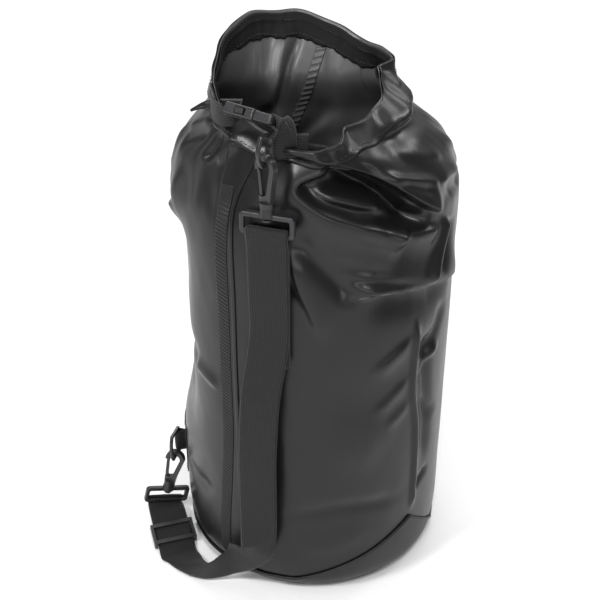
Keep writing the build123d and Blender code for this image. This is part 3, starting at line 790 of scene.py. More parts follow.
@dataclass(frozen=True)
class BagFabric:
    """The fabric of the standing bag as one formula of an angle and a height.

    A level slice is an ellipse whose centre and half widths come from sections, blended smoothly with
    height. The point is moved outwards, level, by the folds, by soft crumpling that grows towards the
    neck, and by the lift that a caller asks for. The fabric ends at a sloping rim. A section is (height,
    centre x, centre y, half width, half depth) in mm, and blur is the blending bell's spread in mm.
    """

    sections: tuple[tuple[float, float, float, float, float], ...] = (
        (0, 0, 0, 117, 117), (5, 0, 0, 124.5, 124.5), (16, 0, 0, 130, 130), (40, 0, 0, 132, 132),
        (330, 0, 0, 132, 132), (400, 0, 0, 132, 129), (436, -1, -3, 121, 116),
        (456, -4, -12, 103, 104), (472, -7, -20, 87, 95), (500, -7, -21, 80, 94), (530, -7, -16, 80, 99),
        (560, -7, -16, 80, 99),
    )
    blur: float = 6.0
    seam_front: float = 230.0
    base_top: float = 16.0
    rim_front: float = 474.0
    rim_rise: float = 56.0
    thickness: float = 1.2
    radius: float = 0.132
    folds: tuple[Fold, ...] = (
        # The collar hangs over the shoulder, and the fabric under its edge is sucked in.
        Fold(((-112, 466), (-95, 470), (-79, 459), (-66, 445), (-56, 428), (-45, 409), (-34, 395)),
             11.0, 24, 2.6, 0.12),
        Fold(((-88, 452), (-80, 446), (-70, 433), (-61, 418), (-53, 403), (-43, 393)), -15.0, 6, 8, 0.2),
        # The bulge below it is a hooked crest with a second, softer one inside.
        Fold(((-80, 457), (-88, 452), (-95, 446), (-97, 438), (-94, 430), (-87, 419), (-77, 409), (-66, 400),
              (-54, 389)), 13.0, 4.2, 17, 0.1),
        Fold(((-94, 437), (-84, 430), (-74, 424), (-66, 420), (-58, 417)), 6.5, 3.6, 6, 0.3),
        Fold(((-90, 443), (-80, 437), (-70, 429)), -5.0, 5, 5, 0.3),
        Fold(((-70, 410), (-60, 400), (-47, 392)), -6.0, 8, 5, 0.3),
        Fold(((-66, 401), (-52, 390), (-36, 381)), 6.0, 3.5, 12, 0.25),
        # Pinched crease at the right of the bulge, and the fold that closes it below.
        Fold(((-31, 388), (-36, 366), (-44, 333)), 6.5, 4, 8, 0.15),
        Fold(((-27, 384), (-30, 360), (-38, 336)), -6.5, 12, 6, 0.25),
        Fold(((-82, 338), (-66, 342), (-45, 334), (-28, 325), (-12, 317)), 7.0, 22, 3.0, 0.18),
        Fold(((-78, 330), (-62, 331), (-42, 322), (-20, 309)), -8.0, 6, 20, 0.3),
        Fold(((-88, 374), (-74, 364), (-58, 354)), -3.0, 6, 8, 0.35),
        Fold(((-82, 357), (-66, 349), (-47, 337)), -3.0, 4, 5, 0.35),
        Fold(((-80, 351), (-64, 344), (-48, 335)), 2.5, 4, 4, 0.35),
        Fold(((-101, 401), (-92, 378), (-85, 360), (-73, 330)), -6.0, 12, 9, 0.25),
        Fold(((-101, 394), (-97, 358), (-91, 325), (-86, 290)), 4.0, 14, 5, 0.3),
        Fold(((-103, 420), (-104, 380), (-103, 330)), -4.0, 8, 8, 0.3),
        # Standing crease down the right, with the short folds that pull on it.
        Fold(((-46, 300), (-47, 262), (-47, 222), (-44, 182), (-43, 131), (-43, 70)), 4.2, 5, 3.2, 0.1),
        Fold(((-38, 292), (-39, 240), (-36, 182), (-35, 110)), -5.0, 8, 10, 0.25),
        Fold(((-46, 284), (-56, 272), (-70, 252)), 3.2, 12, 5, 0.35),
        Fold(((-47, 242), (-56, 228), (-68, 206)), 2.6, 9, 4.5, 0.35),
        Fold(((-47, 214), (-53, 203), (-62, 190)), 1.6, 7, 5, 0.35),
        Fold(((-28, 256), (-37, 248), (-46, 234)), 3.0, 4, 5, 0.3),
        Fold(((-24, 300), (-30, 276), (-44, 250)), -3.5, 8, 8, 0.3),
        Fold(((-44, 202), (-36, 192), (-27, 170)), -3.0, 6, 8, 0.35),
        Fold(((-30, 112), (-36, 106), (-43, 97)), -3.5, 5, 5, 0.3),
        Fold(((-106, 97), (-80, 108), (-62, 104), (-46, 96)), -2.6, 9, 7, 0.3),
        Fold(((-100, 60), (-80, 66), (-62, 82)), 2.0, 16, 14, 0.35),
        Fold(((-96, 232), (-70, 226), (-52, 200)), -2.6, 30, 24, 0.4),
        Fold(((-92, 170), (-74, 176), (-58, 158)), 2.6, 30, 24, 0.4),
        # Shoulder between collar and overhang: soft gathers that run down from the neck.
        Fold(((-78, 471), (-70, 455), (-62, 441)), -3.0, 6, 8, 0.3),
        Fold(((-64, 447), (-52, 436), (-41, 428), (-36, 420)), 4.0, 3, 8, 0.2),
        Fold(((-60, 438), (-50, 428), (-40, 417)), -3.5, 6, 4, 0.3),
        Fold(((-38, 423), (-22, 419), (-6, 412)), 3.5, 8, 4, 0.25),
        Fold(((-34, 411), (-20, 404), (-4, 398)), -3.5, 8, 6, 0.3),
        Fold(((-50, 456), (-38, 446), (-22, 440)), 2.6, 8, 6, 0.3),
        Fold(((-14, 448), (-4, 436), (8, 410), (16, 380)), 3.0, 10, 7, 0.3),
        # Neck: a bulging collar on the right, and the furrow where it meets the shoulder.
        Fold(((-76, 472), (-62, 476), (-48, 480), (-28, 486), (-6, 495), (20, 503)), -19.0, 26, 11, 0.12),
        Fold(((-146, 488), (-128, 482), (-112, 477), (-97, 474)), -10.0, 20, 7, 0.2),
        Fold(((-66, 472), (-40, 477), (-10, 478), (20, 480), (48, 486)), 6.0, 7, 7, 0.2),
        Fold(((-62, 462), (-46, 462), (-28, 465), (-8, 464), (20, 463), (44, 466)), -6.0, 5, 6, 0.2),
        Fold(((-110, 472), (-88, 473), (-70, 477)), 3.0, 5, 4, 0.2),
        # Left shoulder and side: shallow pulls from the folded corner of the mouth, and a dent.
        Fold(((-136, 446), (-132, 458), (-128, 470)), 4.0, 5, 6, 0.25),
        Fold(((-142, 440), (-140, 456), (-140, 470)), -4.0, 6, 5, 0.25),
        Fold(((-172, 455), (-163, 466), (-152, 476)), 5.0, 6, 7, 0.25),
        Fold(((-168, 440), (-158, 452), (-148, 462)), -4.0, 7, 6, 0.3),
        Fold(((-186, 452), (-178, 430), (-176, 400)), 3.5, 10, 8, 0.3),
        Fold(((-160, 430), (-158, 400), (-160, 366)), 2.6, 10, 12, 0.35),
        Fold(((187, 408), (185, 350), (184, 290), (184, 235), (185, 180), (185, 132)), -13.0, 48, 42, 0.2),
        Fold(((184, 250), (184, 212), (185, 168)), -6.0, 34, 34, 0.35),
        Fold(((202, 386), (188, 379), (172, 368)), 6.0, 16, 5, 0.25),
        Fold(((-150, 236), (-141, 232), (-131, 226)), 3.0, 8, 4, 0.25),
        Fold(((-170, 256), (-158, 246), (-144, 236)), -4.0, 14, 10, 0.3),
        Fold(((-172, 300), (-168, 262), (-170, 220)), -3.0, 14, 14, 0.4),
        Fold(((-165, 380), (-158, 340), (-160, 300)), -2.4, 12, 14, 0.4),
        Fold(((-165, 96), (-150, 92), (-136, 98)), -2.4, 10, 8, 0.35),
        # Back of the neck: pushed in below the rim, with a ridge and a groove that run down inside.
        Fold(((26, 420), (60, 416), (92, 412), (124, 414), (156, 422)), -46.0, 68, 74, 0.35),
        Fold(((103, 516), (112, 490), (119, 463), (126, 430)), -7.0, 9, 11, 0.2),
        Fold(((92, 512), (102, 486), (110, 458), (117, 424)), 6.0, 8, 7, 0.2),
        # Back: a few long pulls so that it reads as the same soft fabric.
        Fold(((70, 440), (86, 420), (104, 390), (112, 350)), 5.0, 14, 6, 0.25),
        Fold(((40, 430), (60, 404), (84, 376)), -5.0, 9, 12, 0.25),
        Fold(((118, 452), (124, 420), (122, 380), (112, 330)), 4.5, 8, 12, 0.3),
        Fold(((150, 446), (142, 410), (128, 372)), -4.5, 9, 9, 0.3),
        Fold(((20, 350), (44, 340), (66, 318)), 4.5, 14, 5, 0.25),
        Fold(((24, 334), (46, 322), (66, 300)), -4.5, 6, 14, 0.3),
        Fold(((92, 300), (100, 240), (96, 170)), 3.0, 16, 10, 0.35),
        Fold(((140, 330), (150, 270), (144, 200)), 3.0, 12, 16, 0.35),
        Fold(((8, 280), (14, 220), (10, 150)), 3.0, 12, 16, 0.35),
        Fold(((60, 250), (74, 226), (92, 212)), -3.0, 10, 8, 0.35),
        Fold(((88, 130), (110, 112), (134, 118)), -2.6, 10, 10, 0.35),
        Fold(((30, 118), (52, 104), (76, 110)), -2.6, 10, 10, 0.35),
    )

    def rim(self, theta: Array) -> Array:
        """Height of the rim.

        It rises from the front to the back as (1 + sine of the angle) / 2, sags at the right of the back,
        stands up at the left of it, dips at the right, and has a slight ripple.

        Args:
            theta: angles round the bag, in radians.

        Returns:
            The heights, in metres.
        """
        degrees = np.degrees(theta) % 360.0
        ripple = 0.8 * np.sin(5 * theta + 0.6) + 0.9 * np.sin(11 * theta + 2.0)
        sag = -13.0 * bell(degrees, 50.0, 40.0) + 9.0 * bell(degrees, 140.0, 28.0)
        sag = sag - 5.0 * bell(degrees, 360.0, 30.0)
        return (self.rim_front + self.rim_rise * (1 + np.sin(theta)) / 2 + sag + ripple - 1.0) * MM

    def outline(self, z: Array) -> tuple[Array, Array, Array, Array]:
        """Level slice at each height: the sections, averaged under a bell.

        Args:
            z: heights above the floor, in metres.

        Returns:
            Centre x, centre y, half width and half depth, in metres.
        """
        table = np.array(self.sections, float)
        fine = np.arange(0.0, table[-1, 0])
        half = int(3 * self.blur)
        reach = np.arange(-half, half + 1)
        weights = np.exp(-(reach**2) / (2 * self.blur**2))
        weights /= weights.sum()
        found = []
        for column in range(1, 5):
            line = np.interp(fine, table[:, 0], table[:, column])
            line = np.convolve(np.pad(line, half, mode="edge"), weights, "valid")
            found.append(np.interp(z / MM, fine, line) * MM)
        return tuple(found)

    def crumple(self, theta: Array, z: Array) -> Array:
        """Soft random crumpling.

        It is a sum of seeded waves, each the sine of a whole number of turns round plus a wave up the
        bag, folded by a power so that crests are narrower than hollows. It grows with height, fades out at
        the floor and is quieter at the rim.

        Args:
            theta: angles round the bag, in radians.
            z: heights above the floor, in metres.

        Returns:
            The height of the crumpling outwards, in metres.
        """
        seeds = np.random.default_rng(11)
        total = np.zeros(theta.shape)
        for turns, rise, size in ((3, 14, 1.0), (5, 26, 0.8), (8, 40, 0.5), (13, 62, 0.3), (21, 90, 0.14)):
            for _ in range(2):
                k, phase = rise * seeds.uniform(-1, 1), seeds.uniform(0, WHOLE_TURN, 2)
                wave = np.sin(turns * theta + k * z + phase[0]) * np.cos(0.5 * rise * z + phase[1])
                total += size * (1 - 2 * np.abs(wave) ** 1.6)
        weight = 0.35 + 0.9 * smoothstep(0.30, 0.44, z)
        quiet = 1 - 0.7 * smoothstep(-0.02, 0.004, z - self.rim(theta))
        return total * weight * 0.6 * MM * smoothstep(0.0, 0.05, z) * quiet

    def relief(self, theta: Array, z: Array) -> Array:
        """All folds and crumpling together.

        Args:
            theta: angles round the bag, in radians.
            z: heights above the floor, in metres.

        Returns:
            Their sum outwards, in metres.
        """
        degrees = np.degrees(theta)
        total = self.crumple(theta, z)
        for fold in self.folds:
            total = total + fold.relief(degrees, z, self.radius)
        return total

    def point(self, theta: Array, z: Array, lift: Array | float = 0.0) -> Array:
        """Place on the fabric's outside: the slice's centre plus (half width + relief + lift) times the angle's
        direction.

        Args:
            theta: angles round the bag, in radians.
            z: heights above the floor, in metres.
            lift: how far to move outwards, in metres.

        Returns:
            One place for each.
        """
        cx, cy, rx, ry = self.outline(z)
        out = self.relief(theta, z) + lift
        return np.stack([cx + (rx + out) * np.cos(theta), cy + (ry + out) * np.sin(theta), z], -1)

    def normal(self, theta: Array, z: Array) -> Array:
        """Unit outward normal, from small steps round and up the fabric.

        Args:
            theta: angles round the bag, in radians.
            z: heights above the floor, in metres.

        Returns:
            One normal for each.
        """
        d, reach = 0.002, 0.13
        around = self.point(theta + d / reach, z) - self.point(theta - d / reach, z)
        up = self.point(theta, z + d) - self.point(theta, z - d)
        return unit(np.cross(around, up))


@dataclass
class BagShell:
    """The bag's walls, base, welds, hems and patch, all cut from the fabric's formula.

    columns and rows are the points of a wall round and up its outside, of which one row in inner_step is
    repeated inside. packing is how much denser they stand where the folds are sharp. lip_at and lip_wide
    are the middle and the width, in degrees, of the stretch where the rim's front lip is folded out.
    """

    fabric: BagFabric
    wardrobe: Wardrobe
    columns: int = 264
    rows: int = 264
    inner_step: int = 3
    packing: float = 1.4
    weld_width: float = 0.014
    hem_width: float = 0.022
    lip_at: float = 243.0
    lip_wide: float = 22.0

    def seam_line(self, theta: Array) -> Array:
        """Height of the base seam: near the floor all round, with a peak where the base is pushed up.

        Args:
            theta: angles round the bag, in radians.

        Returns:
            The heights, in metres.
        """
        away = turn_from(np.degrees(theta), -44.0)
        rise = np.where(away < 0, 55.0, 31.0)
        peak = np.clip(1 - np.abs(away) / rise, 0, 1)
        return (15.0 + 52.0 * peak**1.15 + 1.2 * np.sin(3 * theta)) * MM

    def spread(self, start: float, end: float, count: int, low: float, high: float) -> Array:
        """Numbers that are packed more closely along a stretch, where the folds are sharp.

        The step is the inverse of a weight, one outside and 1 + packing inside, eased over a tenth of the
        stretch. Angles may be given a whole turn away from the stretch.

        Args:
            start: first number.
            end: last number.
            count: how many to return.
            low: start of the stretch.
            high: end of the stretch.

        Returns:
            The numbers.
        """
        fine = np.linspace(start, end, 2000)
        ease = 0.1 * (high - low)
        turn = 360.0 * np.round((fine.mean() - (low + high) / 2) / 360.0) if high < 0 else 0.0
        weight = 1 + self.packing * (smoothstep(low - ease, low + ease, fine - turn)
                                     * (1 - smoothstep(high - ease, high + ease, fine - turn)))
        walked = np.r_[0.0, np.cumsum((weight[1:] + weight[:-1]) / 2)]
        return np.interp(np.linspace(0.0, walked[-1], count), walked, fine)

    def wall(self, name: str, start: float, end: float) -> bpy.types.Object:
        """One wall panel between two seams, as a closed skin.

        Its rows run up the outside from the base, over the rim in a half circle and down the inside, and
        its two side edges are closed. The inside is the same surface, one fabric thickness further in.

        Args:
            name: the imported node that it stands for.
            start: angle of one seam, in degrees.
            end: angle of the other.

        Returns:
            The object.
        """
        f, t = self.fabric, self.fabric.thickness * MM
        theta = np.radians(self.spread(start, end, self.columns, -98.0, -34.0))[None, :]
        share = self.spread(0.0, 1.0, self.rows, 0.74, 1.0)[:, None]
        low = f.base_top * MM
        top = f.rim(theta)
        z_out = low + (top - low) * share
        rim_rows = 5
        arc = np.linspace(0, math.pi, rim_rows + 2)[1:-1, None]
        z_arc = top + t / 2 * np.sin(arc)
        share_in = share[::-1][:: self.inner_step]
        z_in = low + (top - low) * share_in
        heights = np.concatenate([z_out, z_arc, z_in])
        lift_arc = -t / 2 + t / 2 * np.cos(arc)
        lift = np.concatenate([np.zeros((self.rows, 1)), lift_arc, np.full((len(share_in), 1), -t)])
        angles = np.broadcast_to(theta, heights.shape)
        points = f.point(angles, heights, lift)
        uv = np.stack([angles * f.radius, heights], -1)
        total = heights.shape[0]
        faces = grid_faces(total, self.columns, True, False).tolist()
        side, step, n = [], self.inner_step, self.columns
        for k in range(len(share_in) - 1):
            outs = [self.rows - 1 - step * k - i for i in range(step + 1)]
            ins = [self.rows + rim_rows + k + 1, self.rows + rim_rows + k]
            side.append([r * n for r in outs + ins])
            side.append([r * n + n - 1 for r in (outs + ins)[::-1]])
        arc_rows = [self.rows - 1 + i for i in range(rim_rows + 2)]
        side += [[r * n for r in arc_rows], [r * n + n - 1 for r in arc_rows[::-1]]]
        obj = make_object(name + "_skin", points, faces + side, uv)
        fix_normals(obj)
        self.wardrobe.dress(obj, Slot.FABRIC, "bag", name)
        # The inside faces take the lighter lining, whose colour holds painted fill light.
        obj.data.materials.append(self.wardrobe.lining_with_painted_fill)
        inside = np.zeros(len(obj.data.polygons), np.int32)
        first = (self.rows + rim_rows // 2 + 1) * (n - 1)
        inside[first:len(faces) - (n - 1)] = 1
        obj.data.polygons.foreach_set("material_index", inside)
        return obj

    def strip(self, name: str, theta: Array, z: Array, lift: float, thickness: float,
              ribs: Array | float = 0.0) -> bpy.types.Object:
        """Thin strip of material on the fabric.

        Args:
            name: the piece's name.
            theta: angles of its grid, in radians, rows along it and columns across.
            z: heights of the same grid.
            lift: how far its middle stands out from the fabric.
            thickness: its thickness.
            ribs: extra lift of each point.

        Returns:
            The object.
        """
        theta, z = np.broadcast_arrays(theta, z)
        normal = self.fabric.normal(theta, z)
        middle = self.fabric.point(theta, z, lift)
        middle = middle + normal * np.broadcast_to(np.asarray(ribs), theta.shape)[..., None]
        steps = np.diff(middle[:, middle.shape[1] // 2], axis=0)
        along = np.cumsum(np.r_[0.0, np.linalg.norm(steps, axis=1)])
        across = np.linspace(-0.5, 0.5, theta.shape[1]) * np.linalg.norm(middle[0, 0] - middle[0, -1])
        return band_object(name, middle, normal, thickness, uv_grid(along, across))

    def ladder(self, along: Array, across: Array, pitch: float, slant: float, height: float) -> Array:
        """Pressed ribs of a weld: rounded bars across the strip at a pitch, slanted along it.

        A bar's height is the positive part of the cosine of its phase, to the power 0.6, faded at both
        sides of the strip.

        Args:
            along: metres along the strip.
            across: metres across it, from its middle.
            pitch: metres from one bar to the next.
            slant: metres that a bar moves along for each metre across.
            height: height of a bar, in metres.

        Returns:
            The height at each point.
        """
        phase = WHOLE_TURN * (along + slant * across) / pitch
        bars = np.maximum(np.cos(phase), 0.0) ** 0.6
        side = smoothstep(0.5, 0.40, np.abs(across) / self.weld_width)
        return height * bars * side

    def front_weld(self) -> bpy.types.Object:
        """Weld down the left of the front, with its slanted ribs, from under the mouth to the base."""
        f = self.fabric
        top, low, step = 0.430, 0.026, 0.0007
        z = np.linspace(top, low, int((top - low) / step))[:, None]
        across = np.linspace(-0.5, 0.5, 15)[None, :] * self.weld_width
        lean = np.radians(2.0) * smoothstep(0.36, 0.45, z) - np.radians(4.0) * smoothstep(0.20, 0.03, z)
        theta = np.radians(f.seam_front + 2.4) + lean + across / f.radius
        ribs = self.ladder(z, across, 0.0036, 0.25, 0.00055) * smoothstep(0.428, 0.405, z)
        obj = self.strip("front_weld_ribs", theta, z, 0.0001, 0.0005, ribs)
        return self.wardrobe.dress(obj, Slot.WELD, "bag", "front_weld_strip")

    def front_welt(self) -> bpy.types.Object:
        """Plain raised edge of the overlapped fabric beside the front weld."""
        f = self.fabric
        top, low, wide = 0.462, 0.030, 0.0042
        z = np.linspace(top, low, 240)[:, None]
        across = np.linspace(-0.5, 0.5, 7)[None, :] * wide
        curl = np.radians(6.0) * smoothstep(0.405, top, z)
        theta = np.radians(f.seam_front + 7.6) + curl + across / f.radius
        obj = self.strip("front_weld_welt", theta, z, 0.0006, 0.0014)
        return self.wardrobe.dress(obj, Slot.FABRIC, "bag")

    def rear_weld(self) -> bpy.types.Object:
        """The same weld inside the back, seen through the mouth: it leaves the rim at one angle, swings to
        the left of the neck and comes back to the seam at the floor."""
        f = self.fabric
        start, low, step, neck_radius = 75.0, 0.03, 0.0008, 0.1
        top = f.rim(np.array([np.radians(start)]))[0] - self.hem_width
        z = np.linspace(top, low, int((top - low) / step))[:, None]
        across = np.linspace(-0.5, 0.5, 15)[None, :] * self.weld_width
        turn = start + 34.0 * smoothstep(0.53, 0.38, z) - 59.0 * smoothstep(0.38, 0.10, z)
        theta = np.radians(turn) + across / neck_radius
        ribs = -self.ladder(z, across, 0.0062, 0.2, 0.0009)
        obj = self.strip("rear_weld_ribs", theta, z, -f.thickness * MM - 0.0004, 0.0007, ribs)
        self.wardrobe.dress(obj, Slot.WELD, "bag", "rear_weld_strip")
        # The weld inside the back takes the lighter lining, whose colour holds painted fill light.
        obj.data.materials[0] = self.wardrobe.lining_with_painted_fill
        return obj

    def base(self) -> bpy.types.Object:
        """Round base panel with a turned-up edge that is welded outside the wall.

        Rows run from the middle of the underside out and up the outside to the base seam, then back down
        the inside to the middle. Out to flat_radius it is flat, and beyond that it follows the fabric.
        """
        f = self.fabric
        columns, foot, flat_radius, ply = 240, 0.0008, 0.115, 0.0018
        theta = np.linspace(0, WHOLE_TURN, columns, endpoint=False)[None, :]
        flat = np.linspace(0.004, flat_radius, 16)[:, None]
        under = np.stack(np.broadcast_arrays(flat * np.cos(theta), flat * np.sin(theta), 0.0), -1)
        share = np.linspace(0.0, 1.0, 40)[:, None]
        z = foot + (self.seam_line(theta) - foot) * share
        lift = 0.0009 * smoothstep(0.0, 0.3, share)
        angles = np.broadcast_to(theta, z.shape)
        wall = f.point(angles, z, lift)
        inside = f.point(angles, z, lift - ply)[::-1][::4]
        floor = under[::-1] + np.array([0, 0, 0.0016])
        points = np.concatenate([under, wall, inside, floor])
        rows = points.shape[0]
        faces = grid_faces(rows, columns, False, True).tolist() + end_caps(rows, columns)
        obj = make_object("base_skin", points, faces)
        fix_normals(obj)
        return self.wardrobe.dress(obj, Slot.BASE, "bag", "base_panel")

    def base_weld(self) -> bpy.types.Object:
        """Raised weld bead that follows the base seam round the bag."""
        wide = 0.0042
        theta = np.linspace(0, WHOLE_TURN, 420)[:, None]
        across = np.linspace(-0.5, 0.5, 9)[None, :]
        z = self.seam_line(theta) + across * wide
        obj = self.strip("base_weld_bead", theta, z, 0.0012, 0.0010, 0.0010 * bell(across, 0.0, 0.22))
        return self.wardrobe.dress(obj, Slot.WELD, "bag", "base_seam_tape")

    def hem_band(self) -> bpy.types.Object:
        """Stiff woven band inside the rim, puckered where it is sewn, with an uneven lower edge."""
        f = self.fabric
        theta = np.linspace(0, WHOLE_TURN, 520)[:, None]
        down = np.linspace(0.04, 1.0, 15)[None, :]
        uneven = 1 + 0.05 * np.sin(9 * theta) + 0.035 * np.sin(23 * theta + 1) + 0.02 * np.sin(61 * theta)
        z = f.rim(theta) - self.hem_width * down * uneven
        pucker = (0.00025 * np.sin(47 * theta) * np.sin(math.pi * down)
                  + 0.0006 * np.sin(13 * theta + 2 * down) + 0.0011 * bell(down, 0.32, 0.07))
        obj = self.strip("hem_band", theta, z, -0.0027, 0.0016, -pucker)
        return self.wardrobe.dress(obj, Slot.HEM, "bag", "hem_webbing")

    def lip(self, theta: Array) -> Array:
        """How far the rim's front lip is folded out.

        Args:
            theta: angles round the bag, in radians.

        Returns:
            The share, from 0 to 1.
        """
        return bell(turn_from(np.degrees(theta), self.lip_at), 0.0, self.lip_wide)

    def hem_turn(self) -> bpy.types.Object:
        """Fabric turned over the rim to the outside, flared where the front lip is folded out."""
        f = self.fabric
        theta = np.linspace(0, WHOLE_TURN, 520)[:, None]
        down = np.linspace(-0.06, 1.0, 13)[None, :]
        z = f.rim(theta) - 0.014 * down * (1 + 0.04 * np.sin(19 * theta))
        flare = self.lip(theta) * 0.0055 * np.clip(down, 0, 1) ** 1.4 + 0.0004 * np.sin(23 * theta + 4 * down)
        obj = self.strip("hem_turn", theta, z, 0.0012, 0.0012, flare)
        return self.wardrobe.dress(obj, Slot.FABRIC, "bag", "hem_fold")

    def heading(self, theta: Array, z: Array) -> Array:
        """Direction in which a level row of stitches runs.

        Args:
            theta: angles of the stitches, in radians.
            z: their heights, in metres.

        Returns:
            A vector for each, from one side of it to the other.
        """
        step = 0.01
        return self.fabric.point(theta + step, z, 0.0) - self.fabric.point(theta - step, z, 0.0)

    def hem_stitches(self) -> bpy.types.Object:
        """Row of stitches round the hem, outside."""
        f = self.fabric
        theta = np.linspace(0, WHOLE_TURN, 150, endpoint=False)
        z = f.rim(theta) - 0.0105
        normal = f.normal(theta, z)
        place = f.point(theta, z, 0.0019) + normal * (self.lip(theta) * 0.0037)[:, None]
        obj = stitches("hem_stitch_row", place, self.heading(theta, z), normal, 0.0028, 0.00032)
        return self.wardrobe.dress(obj, Slot.THREAD, "bag", "hem_stitching")

    def inner_stitches(self) -> bpy.types.Object:
        """Two rows of stitches on the woven band inside the rim."""
        f = self.fabric
        rows = []
        for down, phase in ((0.007, 0.0), (0.0185, 0.02)):
            theta = np.linspace(0, WHOLE_TURN, 150, endpoint=False) + phase
            z = f.rim(theta) - down
            rows.append((f.point(theta, z, -0.0038), self.heading(theta, z), -f.normal(theta, z)))
        place, ahead, normal = (np.concatenate(parts) for parts in zip(*rows))
        obj = stitches("hem_band_stitches", place, ahead, normal, 0.0026, 0.0003)
        return self.wardrobe.dress(obj, Slot.THREAD, "bag")

    def patch(self) -> None:
        """Anchor patch of the lower ring with rounded corners, and its two rows of stitches."""
        f = self.fabric
        low, high, wide = 0.0565, 0.1275, 0.0145
        share = np.linspace(-1, 1, 60)[:, None]
        cross = np.linspace(-1, 1, 17)[None, :]
        shrink = 1 - 0.22 * np.clip((np.abs(share) - 0.86) / 0.14, 0, 1) ** 2
        z = (low + high) / 2 + share * (high - low) / 2
        theta = math.pi + cross * wide * shrink / f.radius
        obj = self.strip("anchor_patch_skin", theta, z, 0.0008, 0.0014)
        self.wardrobe.dress(obj, Slot.FABRIC, "bag", "lower_anchor_patch")
        lines, count = [], 8
        angle = math.pi + np.linspace(-0.011, 0.011, count) / f.radius
        ahead = np.tile([0, 1.0, 0], (count, 1))
        for height in (low + 0.006, high - 0.006, low + 0.0085, high - 0.0085):
            level = np.full(count, height)
            lines.append((f.point(angle, level, 0.0016), ahead, f.normal(angle, level)))
        place, ahead, normal = (np.concatenate(parts) for parts in zip(*lines))
        sewn = stitches("anchor_stitches", place, ahead, normal, 0.0022, 0.0003)
        self.wardrobe.dress(sewn, Slot.THREAD, "bag", "anchor_stitching")

    def corner_fold(self) -> bpy.types.Object:
        """Pointed corner of the mouth's spare fabric, folded flat against the left shoulder.

        It is a triangle of doubled fabric: the across width shrinks evenly from the rim to the tip.
        """
        count = 36
        t = np.linspace(0.0, 1.0, count)
        root, tip = np.array([-0.083, -0.058, 0.4835]), np.array([-0.1062, -0.049, 0.4765])
        start, crown = root + [0.02, -0.014, 0.003], (root + tip) / 2 + [0, 0, 0.0025]
        line = catmull_rom(np.array([start, root, crown, tip]), count)
        side = np.tile(unit(np.array([0.25, 0.72, 0.62])), (count, 1))
        width = 0.017 * (1 - 0.93 * t**1.2) + 0.0008
        s = np.linspace(-0.5, 0.5, 9)
        middle = line[:, None] + side[:, None] * (width[:, None] * s[None, :])[..., None]
        normal = np.cross(unit(np.gradient(line, axis=0)), side)
        swell = 0.0012 * np.sin(math.pi * (s + 0.5))[None, :, None] * normal[:, None]
        normals = np.broadcast_to(normal[:, None], middle.shape)
        uv = uv_grid(t * 0.04, s * 0.02)
        obj = band_object("mouth_corner_fold", middle + swell, normals, 0.0022, uv)
        return self.wardrobe.dress(obj, Slot.FABRIC, "bag")

    def build(self) -> None:
        """Makes every piece of the shell."""
        f = self.fabric
        self.wall("front_wall_panel", f.seam_front, f.seam_front + 180.0)
        self.wall("rear_wall_panel", f.seam_front - 180.0, f.seam_front)
        for piece in (self.base, self.base_weld, self.front_weld, self.front_welt, self.rear_weld,
                      self.hem_band, self.hem_turn, self.hem_stitches, self.inner_stitches, self.patch,
                      self.corner_fold):
            piece()


